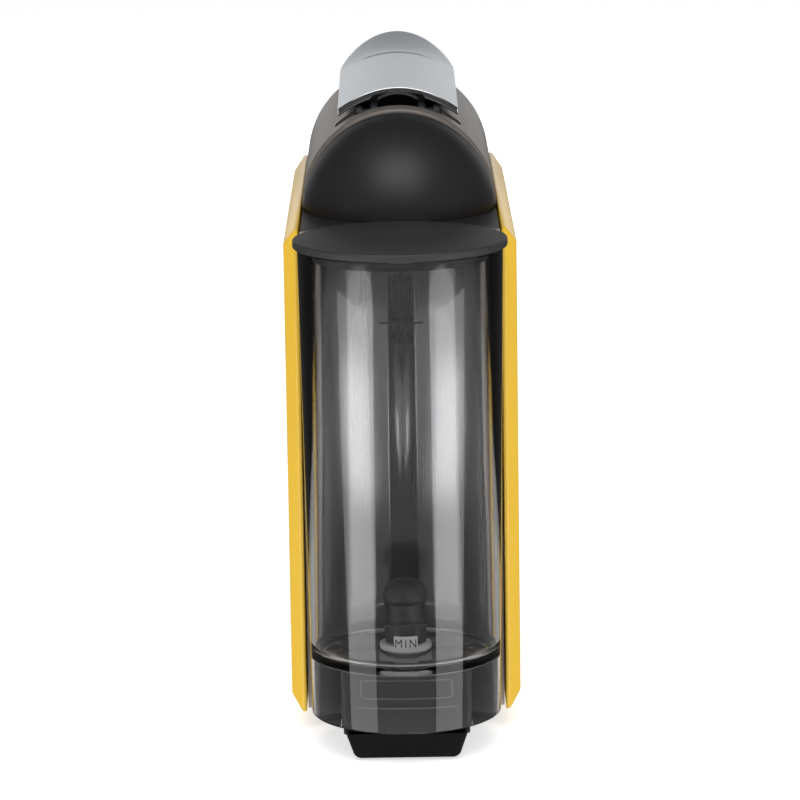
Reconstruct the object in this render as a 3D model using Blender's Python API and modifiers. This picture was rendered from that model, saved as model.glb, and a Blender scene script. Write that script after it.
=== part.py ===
"""Slim pod coffee machine with a lever on top and a lift-off water tank at the back.

Metres, +Z up, the front faces -Y, and the origin is under the middle of the machine.
"""
import math

import bmesh
import bpy
from mathutils import Matrix, Vector

# Overall sizes
BODY_WIDTH = 0.104
BODY_TOP = 0.2309
REAR_Y = 0.0989
HEAD_Y = -0.1424
FRONT_Y = -0.0910
PANEL_BOTTOM = 0.0096

# Side panels
PANEL_DEPTH = 0.0068
PANEL_LIP = 0.0070
PANEL_WALL = 0.0024

# Head and top
HEAD_HEIGHT = 0.0590
NECK_DROP = 0.0170
TUNNEL_REAR = 0.0261
TUNNEL_FRONT = -0.1383
TUNNEL_WALL = 0.0025
DOME_R = 0.0440
SLOT_HALF = 0.0200
SLOT_FRONT = -0.1220

# Water tank
TANK_Y = 0.1184
TANK_R = 0.0453
TANK_TAPER = 0.0030
TANK_WALL = 0.0024
TANK_FLOOR = 0.0454
FLOOR_WALL = 0.0030
SKIRT_Z = 0.0160
LID_THICK = 0.0036
LID_LIP = 0.0020
LID_GAP = 0.0006
VALVE_R = 0.0076

# Lever and brew unit
PIVOT_Y = 0.0020
PIVOT_DROP = 0.0055
HANDLE_HALF = 0.0280
HANDLE_FRONT = -0.1476
HANDLE_CREASE = -0.1130
HANDLE_CROWN = 0.0100
HANDLE_WALL = 0.0024
PIN_R = 0.0025
BREW_Z_UP = 0.0195
HOLDER_BORE = 0.0185

# Front
BIN_HALF = 0.0370
BIN_BOTTOM = 0.0330
BIN_REAR = -0.0020
TRAY_FRONT = -0.1657
TRAY_HALF = 0.0425
TRAY_TOP = 0.0280
GRID_THICK = 0.0026
BUTTON_R = 0.0075
BUTTON_X = 0.0150
SPOUT_Y = -0.1210
SPOUT_R = 0.0084

# Hidden works
PUMP = (-0.0160, 0.0400)
METER = (0.0240, 0.0370)
HOSE_HOLE = (0.0120, 0.0570)
GLAND = (-0.0345, 0.0495)
HOSE_R = 0.0026

# Clearances and common walls
GAP = 0.0003
RUNNING = 0.0003
SHEET = 0.0025
FLOOR_Z = 0.0100
FLOOR_THICK = 0.0030

# Values that follow from the sizes above
INNER = BODY_WIDTH / 2 - PANEL_DEPTH
TUNNEL_R = INNER - 0.0004
SPRING_Z = BODY_TOP - 0.0004
TUNNEL_TOP = SPRING_Z + TUNNEL_R
DECK_TOP = BODY_TOP - 0.0019
DECK_UNDER = DECK_TOP - 0.0027
HEAD_UNDER = BODY_TOP - HEAD_HEIGHT
BIN_TOP = HEAD_UNDER - NECK_DROP - 0.0049
LID_R = TANK_R + LID_LIP
LID_TOP = DECK_TOP + 0.0010
TANK_TOP = LID_TOP - LID_THICK - GAP
WALL_R = LID_R + LID_GAP
PIVOT = Vector((0.0, PIVOT_Y, TUNNEL_TOP - PIVOT_DROP))
CRANK = PIVOT + Vector((0.0, -0.0200, -0.0120))
BREW_Z = SPRING_Z + BREW_Z_UP
LINK_END = Vector((0.0, -0.0673, BREW_Z))
BOSS_HALF = (TANK_R - TANK_TAPER - TANK_WALL - GAP) / math.sqrt(2)
BOSS_TOP = TANK_FLOOR - FLOOR_WALL - 0.0005
FOOT_TOP = SKIRT_Z - 0.0005
SOCKET_R = VALVE_R + 0.0029
HOOK_Z = BODY_TOP - 0.0325
BUTTON_Z = HEAD_UNDER + 0.0330
HANDLE_REAR = PIVOT_Y - 0.0010
SLOT_REAR = PIVOT_Y + HANDLE_CROWN + 0.0034
TURNS = {
    "X": Matrix(((0, 0, 1), (1, 0, 0), (0, 1, 0))).to_4x4(),
    "Y": Matrix(((1, 0, 0), (0, 0, -1), (0, 1, 0))).to_4x4(),
    "Z": Matrix.Identity(4),
}
AXES = {"X": Vector((1, 0, 0)), "Y": Vector((0, -1, 0)), "Z": Vector((0, 0, 1))}

for old in list(bpy.data.objects):
    bpy.data.objects.remove(old)

PARTS = bpy.data.collections.new("pod_coffee_machine")
CUTTERS = bpy.data.collections.new("cutters")
for folder in (PARTS, CUTTERS):
    bpy.context.scene.collection.children.link(folder)
CUTTERS.hide_render = True


def finish(name, colour, roughness, metallic=0.0, alpha=1.0):
    """A material with a plain colour and gloss."""
    made = bpy.data.materials.new(name)
    made.use_nodes = True
    shader = made.node_tree.nodes["Principled BSDF"]
    shader.inputs["Base Color"].default_value = (*colour, 1.0)
    shader.inputs["Roughness"].default_value = roughness
    shader.inputs["Metallic"].default_value = metallic
    shader.inputs["Alpha"].default_value = alpha
    return made


def add(name, mesh, look, matrix=None):
    """An object in the parts collection with the part's material."""
    obj = bpy.data.objects.new(name, mesh)
    PARTS.objects.link(obj)
    if matrix is not None:
        obj.matrix_world = matrix
    obj.data.materials.clear()
    obj.data.materials.append(finish(name, *look))
    return obj


def settled(obj, look):
    """The object as a plain mesh, with its caps welded and its modifiers applied."""
    bpy.context.view_layer.update()
    view = bpy.context.evaluated_depsgraph_get()
    mesh = bpy.data.meshes.new_from_object(obj.evaluated_get(view))
    shape = bmesh.new()
    shape.from_mesh(mesh)
    bmesh.ops.remove_doubles(shape, verts=shape.verts, dist=0.00001)
    shape.to_mesh(mesh)
    shape.free()
    name, matrix = obj.name, obj.matrix_world.copy()
    bpy.data.objects.remove(obj)
    return add(name, mesh, look, matrix)


def arc(centre, radius, start, end, steps):
    """Points on a circle from one angle to another, in degrees."""
    points = []
    for step in range(steps + 1):
        angle = math.radians(start + (end - start) * step / steps)
        points.append((centre[0] + radius * math.cos(angle), centre[1] + radius * math.sin(angle)))
    return points


def circle(centre, radius, sides=16):
    """A closed ring of points."""
    return arc(centre, radius, 0, 360 * (sides - 1) / sides, sides - 1)


def rectangle(low, high, corner=0.0, steps=4):
    """A rectangle's outline, with round corners where a corner radius is given."""
    if corner == 0.0:
        return [low, (high[0], low[1]), high, (low[0], high[1])]
    inner_low = (low[0] + corner, low[1] + corner)
    inner_high = (high[0] - corner, high[1] - corner)
    points = arc(inner_low, corner, 180, 270, steps)
    points += arc((inner_high[0], inner_low[1]), corner, 270, 360, steps)
    points += arc(inner_high, corner, 0, 90, steps)
    points += arc((inner_low[0], inner_high[1]), corner, 90, 180, steps)
    return points


def bar_outline(start, end, radius, steps=8):
    """The outline of a link with round ends."""
    angle = math.degrees(math.atan2(end[1] - start[1], end[0] - start[0]))
    near_end = arc(start, radius, angle + 90, angle + 270, steps)
    return near_end + arc(end, radius, angle - 90, angle + 90, steps)


def slab(name, outline, axis, low, high, look, holes=()):
    """A flat outline, with its holes, made thick along an axis from low to high."""
    curve = bpy.data.curves.new(name, "CURVE")
    curve.dimensions = "2D"
    curve.fill_mode = "BOTH"
    curve.extrude = (high - low) / 2
    for loop in (outline, *holes):
        spline = curve.splines.new("POLY")
        spline.points.add(len(loop) - 1)
        for point, (across, along) in zip(spline.points, loop):
            point.co = (across, along, 0.0, 1.0)
        spline.use_cyclic_u = True
    flat = bpy.data.objects.new(name, curve)
    PARTS.objects.link(flat)
    sign = -1 if axis == "Y" else 1
    flat.matrix_world = Matrix.Translation(AXES[axis] * sign * (low + high) / 2) @ TURNS[axis]
    return settled(flat, look)


def block(name, low, high, look):
    """A box between two corners."""
    low, high = Vector(low), Vector(high)
    shape = bmesh.new()
    size = Matrix.Diagonal((*(high - low), 1.0))
    bmesh.ops.create_cube(shape, size=1.0, matrix=Matrix.Translation((low + high) / 2) @ size)
    mesh = bpy.data.meshes.new(name)
    shape.to_mesh(mesh)
    shape.free()
    return add(name, mesh, look)


def rod(name, radius, start, end, look, sides=20, end_radius=None):
    """A round bar or a cone between two points."""
    start, end = Vector(start), Vector(end)
    along = end - start
    turn = along.to_track_quat("Z", "Y").to_matrix().to_4x4()
    shape = bmesh.new()
    bmesh.ops.create_cone(
        shape,
        cap_ends=True,
        segments=sides,
        radius1=radius,
        radius2=radius if end_radius is None else end_radius,
        depth=along.length,
        matrix=Matrix.Translation((start + end) / 2) @ turn,
    )
    mesh = bpy.data.meshes.new(name)
    shape.to_mesh(mesh)
    shape.free()
    mesh.shade_smooth()
    mesh.set_sharp_from_angle(angle=math.radians(40))
    return add(name, mesh, look)


def turned(name, profile, centre, look, axis="Z", sides=32, ring=True):
    """A profile of (radius, height) points spun round an axis, listed down its outer side."""
    mesh = bpy.data.meshes.new(name)
    edges = [(step, step + 1) for step in range(len(profile) - 1)]
    if ring:
        edges.append((len(profile) - 1, 0))
    mesh.from_pydata([(radius, 0.0, height) for radius, height in profile], edges, [])
    matrix = Matrix.Translation(centre)
    if axis == "Y":
        matrix = matrix @ Matrix.Rotation(-math.pi / 2, 4, "X")
    obj = add(name, mesh, look, matrix)
    screw = obj.modifiers.new("spin", "SCREW")
    screw.steps = sides
    screw.render_steps = sides
    screw.use_merge_vertices = True
    screw.merge_threshold = 0.00001
    return obj


def smooth_route(points, step):
    """A smooth curve through the route's points, read about once a step."""
    ends = [points[0] * 2 - points[1], *points, points[-1] * 2 - points[-2]]
    route = []
    for first, second, third, fourth in zip(ends, ends[1:], ends[2:], ends[3:]):
        count = max(1, round((third - second).length / step))
        for index in range(count):
            t = index / count
            bend = (2 * first - 5 * second + 4 * third - fourth) * t**2
            twist = (3 * second - first - 3 * third + fourth) * t**3
            route.append(0.5 * (2 * second + (third - first) * t + bend + twist))
    return [*route, points[-1]]


def tube(name, route, radius, look):
    """A round tube along a list of points."""
    curve = bpy.data.curves.new(name, "CURVE")
    curve.dimensions = "3D"
    curve.bevel_depth = radius
    curve.bevel_resolution = 2
    curve.use_fill_caps = True
    spline = curve.splines.new("POLY")
    spline.points.add(len(route) - 1)
    for point, place in zip(spline.points, route):
        point.co = (*place, 1.0)
    obj = bpy.data.objects.new(name, curve)
    PARTS.objects.link(obj)
    return settled(obj, look)


def hose(name, points, radius, look):
    """A hose through a few chosen points."""
    return tube(name, smooth_route([Vector(point) for point in points], radius * 2.5), radius, look)


def combine(obj, other, operation):
    """A Boolean with another object, which becomes a cutter."""
    PARTS.objects.unlink(other)
    CUTTERS.objects.link(other)
    other.hide_render = True
    other.display_type = "WIRE"
    other.name = f"{obj.name}_{other.name}_cutter"
    step = obj.modifiers.new(operation.lower(), "BOOLEAN")
    step.operation = operation
    step.solver = "EXACT"
    step.object = other
    return obj


def cut(obj, *cutters):
    for cutter in cutters:
        combine(obj, cutter, "DIFFERENCE")
    return obj


def fuse(obj, *others):
    for other in others:
        combine(obj, other, "UNION")
    return obj


def soften(obj, width, segments=2):
    """Rounds the sharp edges."""
    step = obj.modifiers.new("round", "BEVEL")
    step.width = width
    step.segments = segments
    step.limit_method = "ANGLE"
    step.angle_limit = math.radians(40)
    return obj


def hang(obj, origin):
    """Moves the object's origin onto its joint's axis and leaves its shape in place."""
    shift = obj.matrix_world.inverted() @ Vector(origin)
    obj.data.transform(Matrix.Translation(-shift))
    obj.matrix_world = obj.matrix_world @ Matrix.Translation(shift)
    return obj


# Looks: colour, roughness, metallic, alpha
YELLOW = ((0.84, 0.50, 0.035), 0.35)
BLACK = ((0.012, 0.011, 0.012), 0.40)
GLOSS = ((0.020, 0.020, 0.022), 0.15)
WARM_GREY = ((0.105, 0.090, 0.080), 0.45)
SILVER = ((0.60, 0.63, 0.66), 0.32, 0.6)
CHROME = ((0.80, 0.80, 0.82), 0.08, 1.0)
STEEL = ((0.55, 0.55, 0.56), 0.30, 1.0)
ALUMINIUM = ((0.62, 0.62, 0.63), 0.40, 1.0)
RUBBER = ((0.02, 0.02, 0.02), 0.85)
SILICONE = ((0.70, 0.70, 0.68), 0.50)
CLEAR = ((0.80, 0.84, 0.86), 0.05, 0.0, 0.25)
WHITE = ((0.72, 0.72, 0.70), 0.45)
BOARD = ((0.02, 0.16, 0.06), 0.50)


def inset_outline(outline, distance):
    """The outline with each edge moved inwards by a distance; its points run anticlockwise."""
    moved = []
    for before, here, after in zip([outline[-1], *outline], outline, [*outline[1:], outline[0]]):
        first = (Vector(here) - Vector(before)).normalized()
        second = (Vector(after) - Vector(here)).normalized()
        inward = Vector((-first.y, first.x)) + Vector((-second.y, second.x))
        moved.append(tuple(Vector(here) + inward * distance / (1 + first.dot(second))))
    return moved


def dish(name, outline, low, high, inset, side):
    """A flat solid whose border slopes in by the inset from its low face to its high face."""
    shape = bmesh.new()
    ring = []
    for points, x in ((outline, low), (inset_outline(outline, inset), high)):
        verts = [shape.verts.new((side * x, y, z)) for y, z in points]
        ring.append(shape.faces.new(verts))
    bmesh.ops.bridge_loops(shape, edges=list(shape.edges))
    bmesh.ops.recalc_face_normals(shape, faces=shape.faces)
    mesh = bpy.data.meshes.new(name)
    shape.to_mesh(mesh)
    shape.free()
    return add(name, mesh, YELLOW)


def side_panel(name, side):
    """A dished side panel with a wide sloping border all round."""
    outline = [
        (REAR_Y, PANEL_BOTTOM),
        (REAR_Y, BODY_TOP),
        (HEAD_Y, BODY_TOP),
        (HEAD_Y, HEAD_UNDER),
        (FRONT_Y, HEAD_UNDER - NECK_DROP),
        (FRONT_Y, PANEL_BOTTOM),
    ]
    rim = PANEL_WALL * 1.3
    past = 0.0010
    slope = PANEL_LIP / PANEL_DEPTH
    panel = dish(name, outline, INNER, INNER + PANEL_DEPTH, PANEL_LIP, side)
    hollow = inset_outline(outline, rim - past * slope)
    top = INNER + PANEL_DEPTH - PANEL_WALL
    return cut(panel, dish("hollow", hollow, INNER - past, top, (top - INNER + past) * slope, side))


def tunnel_cover():
    """The half-round cover along the top. Its slot is wider where the lever turns."""
    bottom = DECK_TOP + GAP
    outer = arc((0.0, SPRING_Z), TUNNEL_R, 0, 180, 28)
    inner = arc((0.0, SPRING_Z), TUNNEL_R - TUNNEL_WALL, 180, 0, 28)
    outline = [(TUNNEL_R, bottom), *outer, (-TUNNEL_R, bottom), (TUNNEL_WALL - TUNNEL_R, bottom)]
    outline += [*inner, (TUNNEL_R - TUNNEL_WALL, bottom)]
    cover = slab("tunnel_cover", outline, "Y", TUNNEL_FRONT, TUNNEL_REAR, WARM_GREY)
    low, high = SPRING_Z + 0.010, TUNNEL_TOP + 0.010
    slot = rectangle((-SLOT_HALF, SLOT_FRONT), (SLOT_HALF, SLOT_REAR), 0.004)
    wide = HANDLE_HALF + 0.0012
    notch = rectangle((-wide, PIVOT_Y - 0.0045), (wide, PIVOT_Y + 0.0083), 0.003)
    cut(cover, slab("slot", slot, "Z", low, high, BLACK))
    return cut(cover, slab("notch", notch, "Z", low, high, BLACK))


def rear_dome():
    """The quarter-round cap behind the tunnel."""
    shape = bmesh.new()
    bmesh.ops.create_uvsphere(shape, u_segments=40, v_segments=20, radius=DOME_R)
    for away in ((0, 0, -1), (0, -1, 0)):
        whole = [*shape.verts, *shape.edges, *shape.faces]
        centre = (0, 0, 0)
        bmesh.ops.bisect_plane(shape, geom=whole, dist=1e-6, plane_co=centre, plane_no=away, clear_outer=True)
    mesh = bpy.data.meshes.new("rear_dome")
    shape.to_mesh(mesh)
    shape.free()
    mesh.shade_smooth()
    obj = add("rear_dome", mesh, BLACK, Matrix.Translation((0.0, TUNNEL_REAR + GAP, DECK_TOP + GAP)))
    wall = obj.modifiers.new("wall", "SOLIDIFY")
    wall.thickness = SHEET
    wall.offset = -1.0
    return obj


def rear_wall():
    """The hollow wall the tank stands in, with a groove for the tank's hooks and a tab below each wing."""
    half_groove, groove_depth, spread = 0.0062, 0.0040, 60
    wing_x = INNER - 0.0006
    outer_r = WALL_R + SHEET

    def arc_point(radius, angle):
        return (radius * math.sin(angle), TANK_Y - radius * math.cos(angle))

    def sweep(radius, start, end):
        return [arc_point(radius, start + (end - start) * step / 10) for step in range(11)]

    edge = math.radians(spread)
    inner_stop = math.asin(half_groove / WALL_R)
    outer_stop = math.asin((half_groove + SHEET) / outer_r)
    groove_y = TANK_Y - WALL_R - groove_depth
    inner_end = arc_point(WALL_R, edge)
    outer_end = arc_point(outer_r, edge)
    outline = [(wing_x, outer_end[1]), (wing_x, inner_end[1])]
    outline += sweep(WALL_R, edge, inner_stop)
    outline += [(half_groove, groove_y), (-half_groove, groove_y)]
    outline += sweep(WALL_R, -inner_stop, -edge)
    outline += [(-wing_x, inner_end[1]), (-wing_x, outer_end[1])]
    outline += sweep(outer_r, -edge, -outer_stop)
    outline += [(-half_groove - SHEET, groove_y - SHEET), (half_groove + SHEET, groove_y - SHEET)]
    outline += sweep(outer_r, outer_stop, edge)
    wall = slab("rear_wall", outline, "Z", SKIRT_Z + 0.0002, DECK_TOP, GLOSS)
    for side in (-1, 1):
        near, far = sorted((side * (wing_x - 0.0040), side * wing_x))
        low = (near, outer_end[1] + 0.0001, FLOOR_Z + 0.0002)
        high = (far, inner_end[1] - 0.0001, SKIRT_Z + 0.0010)
        fuse(wall, block("tab", low, high, GLOSS))
    return wall


def top_deck():
    """The shelf that carries the tunnel, open under the brew unit."""
    edge = INNER - 0.0006
    opening = rectangle((-0.0250, -0.1330), (0.0250, -0.0660), 0.003)
    hose_hole = circle((0.0, 0.0240), 0.0050, 12)
    outline = rectangle((-edge, HEAD_Y + 0.0042), (edge, REAR_Y - 0.0040))
    deck = slab("top_deck", outline, "Z", DECK_UNDER, DECK_TOP, BLACK, (opening, hose_hole))
    clear = WALL_R + SHEET + GAP
    bay = rod("bay", clear, (0, TANK_Y, DECK_UNDER - 0.01), (0, TANK_Y, DECK_TOP + 0.01), BLACK, 64)
    groove_y = TANK_Y - WALL_R - 0.0040 - SHEET - GAP
    low, high = DECK_UNDER - 0.01, DECK_TOP + 0.01
    groove = block("groove", (-0.0092, groove_y, low), (0.0092, TANK_Y, high), BLACK)
    wings = block("wings", (-INNER, TANK_Y - clear / 2, low), (INNER, REAR_Y, high), BLACK)
    return cut(deck, bay, groove, wings)


def inner_frame(name, side):
    """An upright frame plate behind a side panel."""
    low, high = FLOOR_Z + FLOOR_THICK + GAP, DECK_UNDER - GAP
    head = HEAD_UNDER + 0.0070
    rear = 0.0880
    outline = [(rear, low), (rear, high), (HEAD_Y + 0.0044, high), (HEAD_Y + 0.0044, head)]
    outline += [(FRONT_Y - 0.0010, head - NECK_DROP), (FRONT_Y + 0.0030, head - NECK_DROP - 0.010)]
    outline += [(FRONT_Y + 0.0030, low)]
    near, far = sorted((side * (INNER - 0.0006), side * (INNER - 0.0006 - SHEET)))
    return slab(name, outline, "X", near, far, BLACK)


def head_cover():
    """The front of the head and its sloping underside, with holes for the spout and the buttons."""
    front = HEAD_Y + 0.0009
    under = HEAD_UNDER + 0.0025
    back = FRONT_Y - 0.0025
    outline = [(front, DECK_TOP), (front, under), (back, under - NECK_DROP)]
    outline += [(back, under - NECK_DROP + 0.003)]
    outline += [(front + SHEET, under + 0.0022), (front + SHEET, DECK_TOP)]
    half = INNER - 0.0004
    cover = slab("head_cover", outline, "X", -half, half, GLOSS)
    spout = rod("spout_hole", 0.0090, (0, SPOUT_Y, under - 0.03), (0, SPOUT_Y, under + 0.02), BLACK)
    cut(cover, spout)
    for side in (-1, 1):
        place = (side * BUTTON_X, front - 0.01, BUTTON_Z)
        end = (place[0], front + 0.01, place[2])
        cut(cover, rod("button_hole", BUTTON_R + 0.0004, place, end, BLACK, 24))
    return cover


def front_cap():
    """The half-round cap on the tunnel's front end."""
    radius = TUNNEL_R - 0.0002
    bottom = DECK_TOP + GAP
    outline = [(radius, bottom), *arc((0.0, SPRING_Z), radius, 0, 180, 28), (-radius, bottom)]
    cap = slab("front_cap", outline, "Y", HEAD_Y + 0.0006, TUNNEL_FRONT - GAP, WARM_GREY)
    return cap


def base():
    """The floor plate, the tongue under the drip tray, the rear foot and the tank's boss."""
    half = INNER - 0.0010
    plate = rectangle((-half, FRONT_Y + 0.0030), (half, 0.0600))
    floor = slab("base", plate, "Z", FLOOR_Z, FLOOR_Z + FLOOR_THICK, BLACK)
    back = TANK_Y + BOSS_HALF
    foot_outline = [(-BOSS_HALF + 0.005, 0.0012), (BOSS_HALF - 0.005, 0.0012), (BOSS_HALF, FOOT_TOP)]
    foot_outline += [(-BOSS_HALF, FOOT_TOP)]
    foot = slab("foot", foot_outline, "Y", 0.0510, back, BLACK)
    boss_low, boss_high = (-BOSS_HALF, TANK_Y - BOSS_HALF), (BOSS_HALF, back)
    boss = slab("boss", rectangle(boss_low, boss_high, 0.0020), "Z", 0.0120, BOSS_TOP, BLACK)
    tongue = block("tongue", (-0.0280, TRAY_FRONT + 0.0077, 0.0016), (0.0280, -0.0840, 0.0040), BLACK)
    riser = block("riser", (-0.0280, -0.0875, 0.0020), (0.0280, -0.0840, FLOOR_Z + 0.0010), BLACK)
    fuse(floor, foot, boss, tongue, riser)
    wall = 0.0030
    pocket = block("pocket", (-0.0200, 0.0530, 0.0), (0.0200, back - wall, FOOT_TOP - SHEET), BLACK)
    boss_pocket = block(
        "boss_pocket",
        (wall - BOSS_HALF, TANK_Y - BOSS_HALF + wall, 0.0125),
        (BOSS_HALF - wall, back - wall, BOSS_TOP - wall),
        BLACK,
    )
    socket = rod("socket_hole", SOCKET_R + GAP, (0, TANK_Y, 0.030), (0, TANK_Y, 0.060), BLACK, 32)
    hose_hole = rod("hose_hole", 0.0042, (*HOSE_HOLE, 0.0), (*HOSE_HOLE, 0.030), BLACK, 16)
    gland_hole = rod("gland_hole", 0.0052, (*GLAND, 0.0), (*GLAND, 0.020), BLACK, 20)
    return cut(floor, pocket, boss_pocket, socket, hose_hole, gland_hole)


def foot_cover():
    """The plate that closes the rear foot from below."""
    back = TANK_Y + BOSS_HALF
    return block("foot_cover", (-0.0197, 0.0533, 0.0012), (0.0197, back - 0.0033, 0.0032), BLACK)


def cord_gland():
    """The bush in the floor that the mains cord would pass through."""
    bottom, top = FLOOR_Z - 0.0020, FLOOR_Z + FLOOR_THICK + 0.0050
    flange = FLOOR_Z - GAP
    profile = [(0.0046, top), (0.0046, flange), (0.0075, flange)]
    profile += [(0.0075, bottom), (0.0035, bottom), (0.0035, top)]
    return turned("cord_gland", profile, (*GLAND, 0.0), RUBBER, sides=20)


def rubber_foot(name, x, y):
    """A round foot under the floor."""
    return rod(name, 0.0060, (x, y, 0.0), (x, y, FLOOR_Z - GAP), RUBBER, 16, 0.0070)


def rear_foot_pad():
    """The pad under the rear foot."""
    back = TANK_Y + BOSS_HALF - 0.0060
    pad = rectangle((-0.0150, back - 0.0160), (0.0150, back), 0.004)
    return slab("rear_foot_pad", pad, "Z", 0.0, 0.0009, RUBBER)


def case_screw(name, x, y):
    """A pan-head screw up through the floor plate."""
    top = FLOOR_Z - GAP
    return rod(name, 0.0030, (x, y, top - 0.0018), (x, y, top), STEEL, 14)


def water_tank():
    """The clear tank: a tapering cup, a thick floor with the valve hole, and a skirt below."""
    low_r = TANK_R - TANK_TAPER
    top_in, low_in = TANK_R - TANK_WALL, low_r - TANK_WALL
    under = TANK_FLOOR - FLOOR_WALL
    profile = [(TANK_R, TANK_TOP), (low_r, SKIRT_Z), (low_in, SKIRT_Z), (low_in + 0.0003, under)]
    profile += [(VALVE_R + GAP, under), (VALVE_R + GAP, TANK_FLOOR)]
    profile += arc((low_in - 0.0036, TANK_FLOOR + 0.0040), 0.0040, -90, 0, 4)
    profile += [(top_in, TANK_TOP)]
    tank = turned("water_tank", profile, (0.0, TANK_Y, 0.0), CLEAR, sides=48)
    for side in (-1, 1):
        near = TANK_Y - TANK_R
        hook = [(near + 0.0016, HOOK_Z - 0.0045), (near - 0.0045, HOOK_Z - 0.0030)]
        hook += [(near - 0.0045, HOOK_Z + 0.0045)]
        hook += [(near - 0.0028, HOOK_Z + 0.0045), (near - 0.0026, HOOK_Z)]
        hook += [(near + 0.0016, HOOK_Z + 0.0010)]
        middle = side * 0.0037
        fuse(tank, slab("hook", hook, "X", middle - 0.0015, middle + 0.0015, CLEAR))
    return tank


def tank_lid():
    """The flat round lid with a shallow collar that drops into the tank."""
    collar = TANK_R - TANK_WALL - 0.0008
    under = LID_TOP - LID_THICK
    deep = under - 0.0050
    profile = [(0.0, LID_TOP), (LID_R - 0.0010, LID_TOP)]
    profile += [(LID_R, LID_TOP - 0.0010), (LID_R, under + 0.0008)]
    profile += [(LID_R - 0.0008, under), (collar, under)]
    profile += [(collar - 0.0004, deep), (collar - 0.0024, deep)]
    profile += [(collar - 0.0020, under + 0.0010), (0.0, under + 0.0010)]
    return turned("tank_lid", profile, (0.0, TANK_Y, 0.0), BLACK, sides=48, ring=False)


def tank_valve_body():
    """The spigot through the tank's floor, with its flange inside the tank."""
    profile = [(0.0062, 0.0570), (0.0062, 0.0482), (0.0115, 0.0482), (0.0115, TANK_FLOOR + GAP)]
    profile += [(VALVE_R, TANK_FLOOR + GAP), (VALVE_R, 0.0312), (0.0046, 0.0312), (0.0046, 0.0550)]
    profile += [(0.0022, 0.0550), (0.0022, 0.0570)]
    return turned("tank_valve_body", profile, (0.0, TANK_Y, 0.0), WHITE, sides=24)


def tank_valve_plunger():
    """The stem and disc that the socket's pin lifts to let the water out."""
    profile = [(0.0, 0.0600), (0.0016, 0.0600), (0.0016, 0.0352)]
    profile += [(0.0042, 0.0352), (0.0042, 0.0332), (0.0, 0.0332)]
    plunger = turned("tank_valve_plunger", profile, (0.0, TANK_Y, 0.0), WHITE, sides=16, ring=False)
    return hang(plunger, (0.0, TANK_Y, 0.0332))


def tank_valve_spring():
    """The coil spring between the plunger's disc and the lip at the spigot's top."""
    turns, wire, radius, low, high = 5, 0.00035, 0.0029, 0.0358, 0.0544
    count = turns * 10
    route = []
    for step in range(count + 1):
        angle = 2 * math.pi * turns * step / count
        height = low + (high - low) * step / count
        route.append((radius * math.cos(angle), TANK_Y + radius * math.sin(angle), height))
    return tube("tank_valve_spring", route, wire, STEEL)


def tank_filter():
    """The mushroom-shaped strainer over the valve."""
    floor = 0.0485
    outer = [(0.0, 0.0760), (0.0055, 0.0752), (0.0090, 0.0728)]
    outer += [(0.0102, 0.0695), (0.0098, 0.0672), (0.0078, 0.0655)]
    outer += [(0.0076, 0.0600), (0.0090, 0.0560), (0.0092, floor)]
    inner = [(0.0070, floor), (0.0070, 0.0570), (0.0064, 0.0610), (0.0066, 0.0690), (0.0, 0.0720)]
    return turned("tank_filter", outer + inner, (0.0, TANK_Y, 0.0), BLACK, sides=24, ring=False)


def tank_socket():
    """The cup in the boss that takes the tank's spigot, with a pin that lifts the plunger."""
    cup_r, cup_floor, flange = VALVE_R + 0.0006, 0.0270, BOSS_TOP - 0.0033
    profile = [(0.0, 0.0328), (0.0018, 0.0328), (0.0018, cup_floor)]
    profile += [(cup_r, cup_floor), (cup_r, BOSS_TOP - 0.0002)]
    profile += [(SOCKET_R, BOSS_TOP - 0.0002), (SOCKET_R, flange)]
    profile += [(0.0130, flange), (0.0130, flange - 0.0022)]
    profile += [(SOCKET_R, flange - 0.0022), (SOCKET_R, 0.0240)]
    profile += [(0.0040, 0.0240), (0.0040, 0.0160), (0.0, 0.0160)]
    return turned("tank_socket", profile, (0.0, TANK_Y, 0.0), WHITE, sides=24, ring=False)


def handle_top(x, y):
    """The height of the lever's crowned top above the point (x, y)."""
    rise = 0.0036 * (HANDLE_REAR - y) / (HANDLE_REAR - HANDLE_CREASE)
    lip = 0.0048 * max(0.0, (HANDLE_CREASE - y) / (HANDLE_CREASE - HANDLE_FRONT)) ** 1.4
    return TUNNEL_TOP + 0.0070 + rise + lip - HANDLE_CROWN * (x / HANDLE_HALF) ** 2


def lever_handle():
    """The crowned lever, round at its front end, which turns up a little as a grip."""
    shape = bmesh.new()
    bmesh.ops.create_grid(shape, x_segments=14, y_segments=12, size=1.0)
    for vert in shape.verts:
        across = math.sin(vert.co.x * math.pi / 2)
        along = (vert.co.y + 1) / 2
        nose = HANDLE_CREASE + (HANDLE_FRONT - HANDLE_CREASE) * math.sqrt(max(0.0, 1 - across**2))
        y = HANDLE_REAR + (nose - HANDLE_REAR) * along
        x = HANDLE_HALF * across
        vert.co = (x, y, handle_top(x, y))
    for face in shape.faces:
        face.normal_update()
    if sum(face.normal.z for face in shape.faces) < 0:
        bmesh.ops.reverse_faces(shape, faces=shape.faces)
    mesh = bpy.data.meshes.new("lever_handle")
    shape.to_mesh(mesh)
    shape.free()
    mesh.shade_smooth()
    obj = add("lever_handle", mesh, SILVER)
    wall = obj.modifiers.new("wall", "SOLIDIFY")
    wall.thickness = HANDLE_WALL
    wall.offset = -1.0
    return hang(obj, PIVOT)


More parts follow.
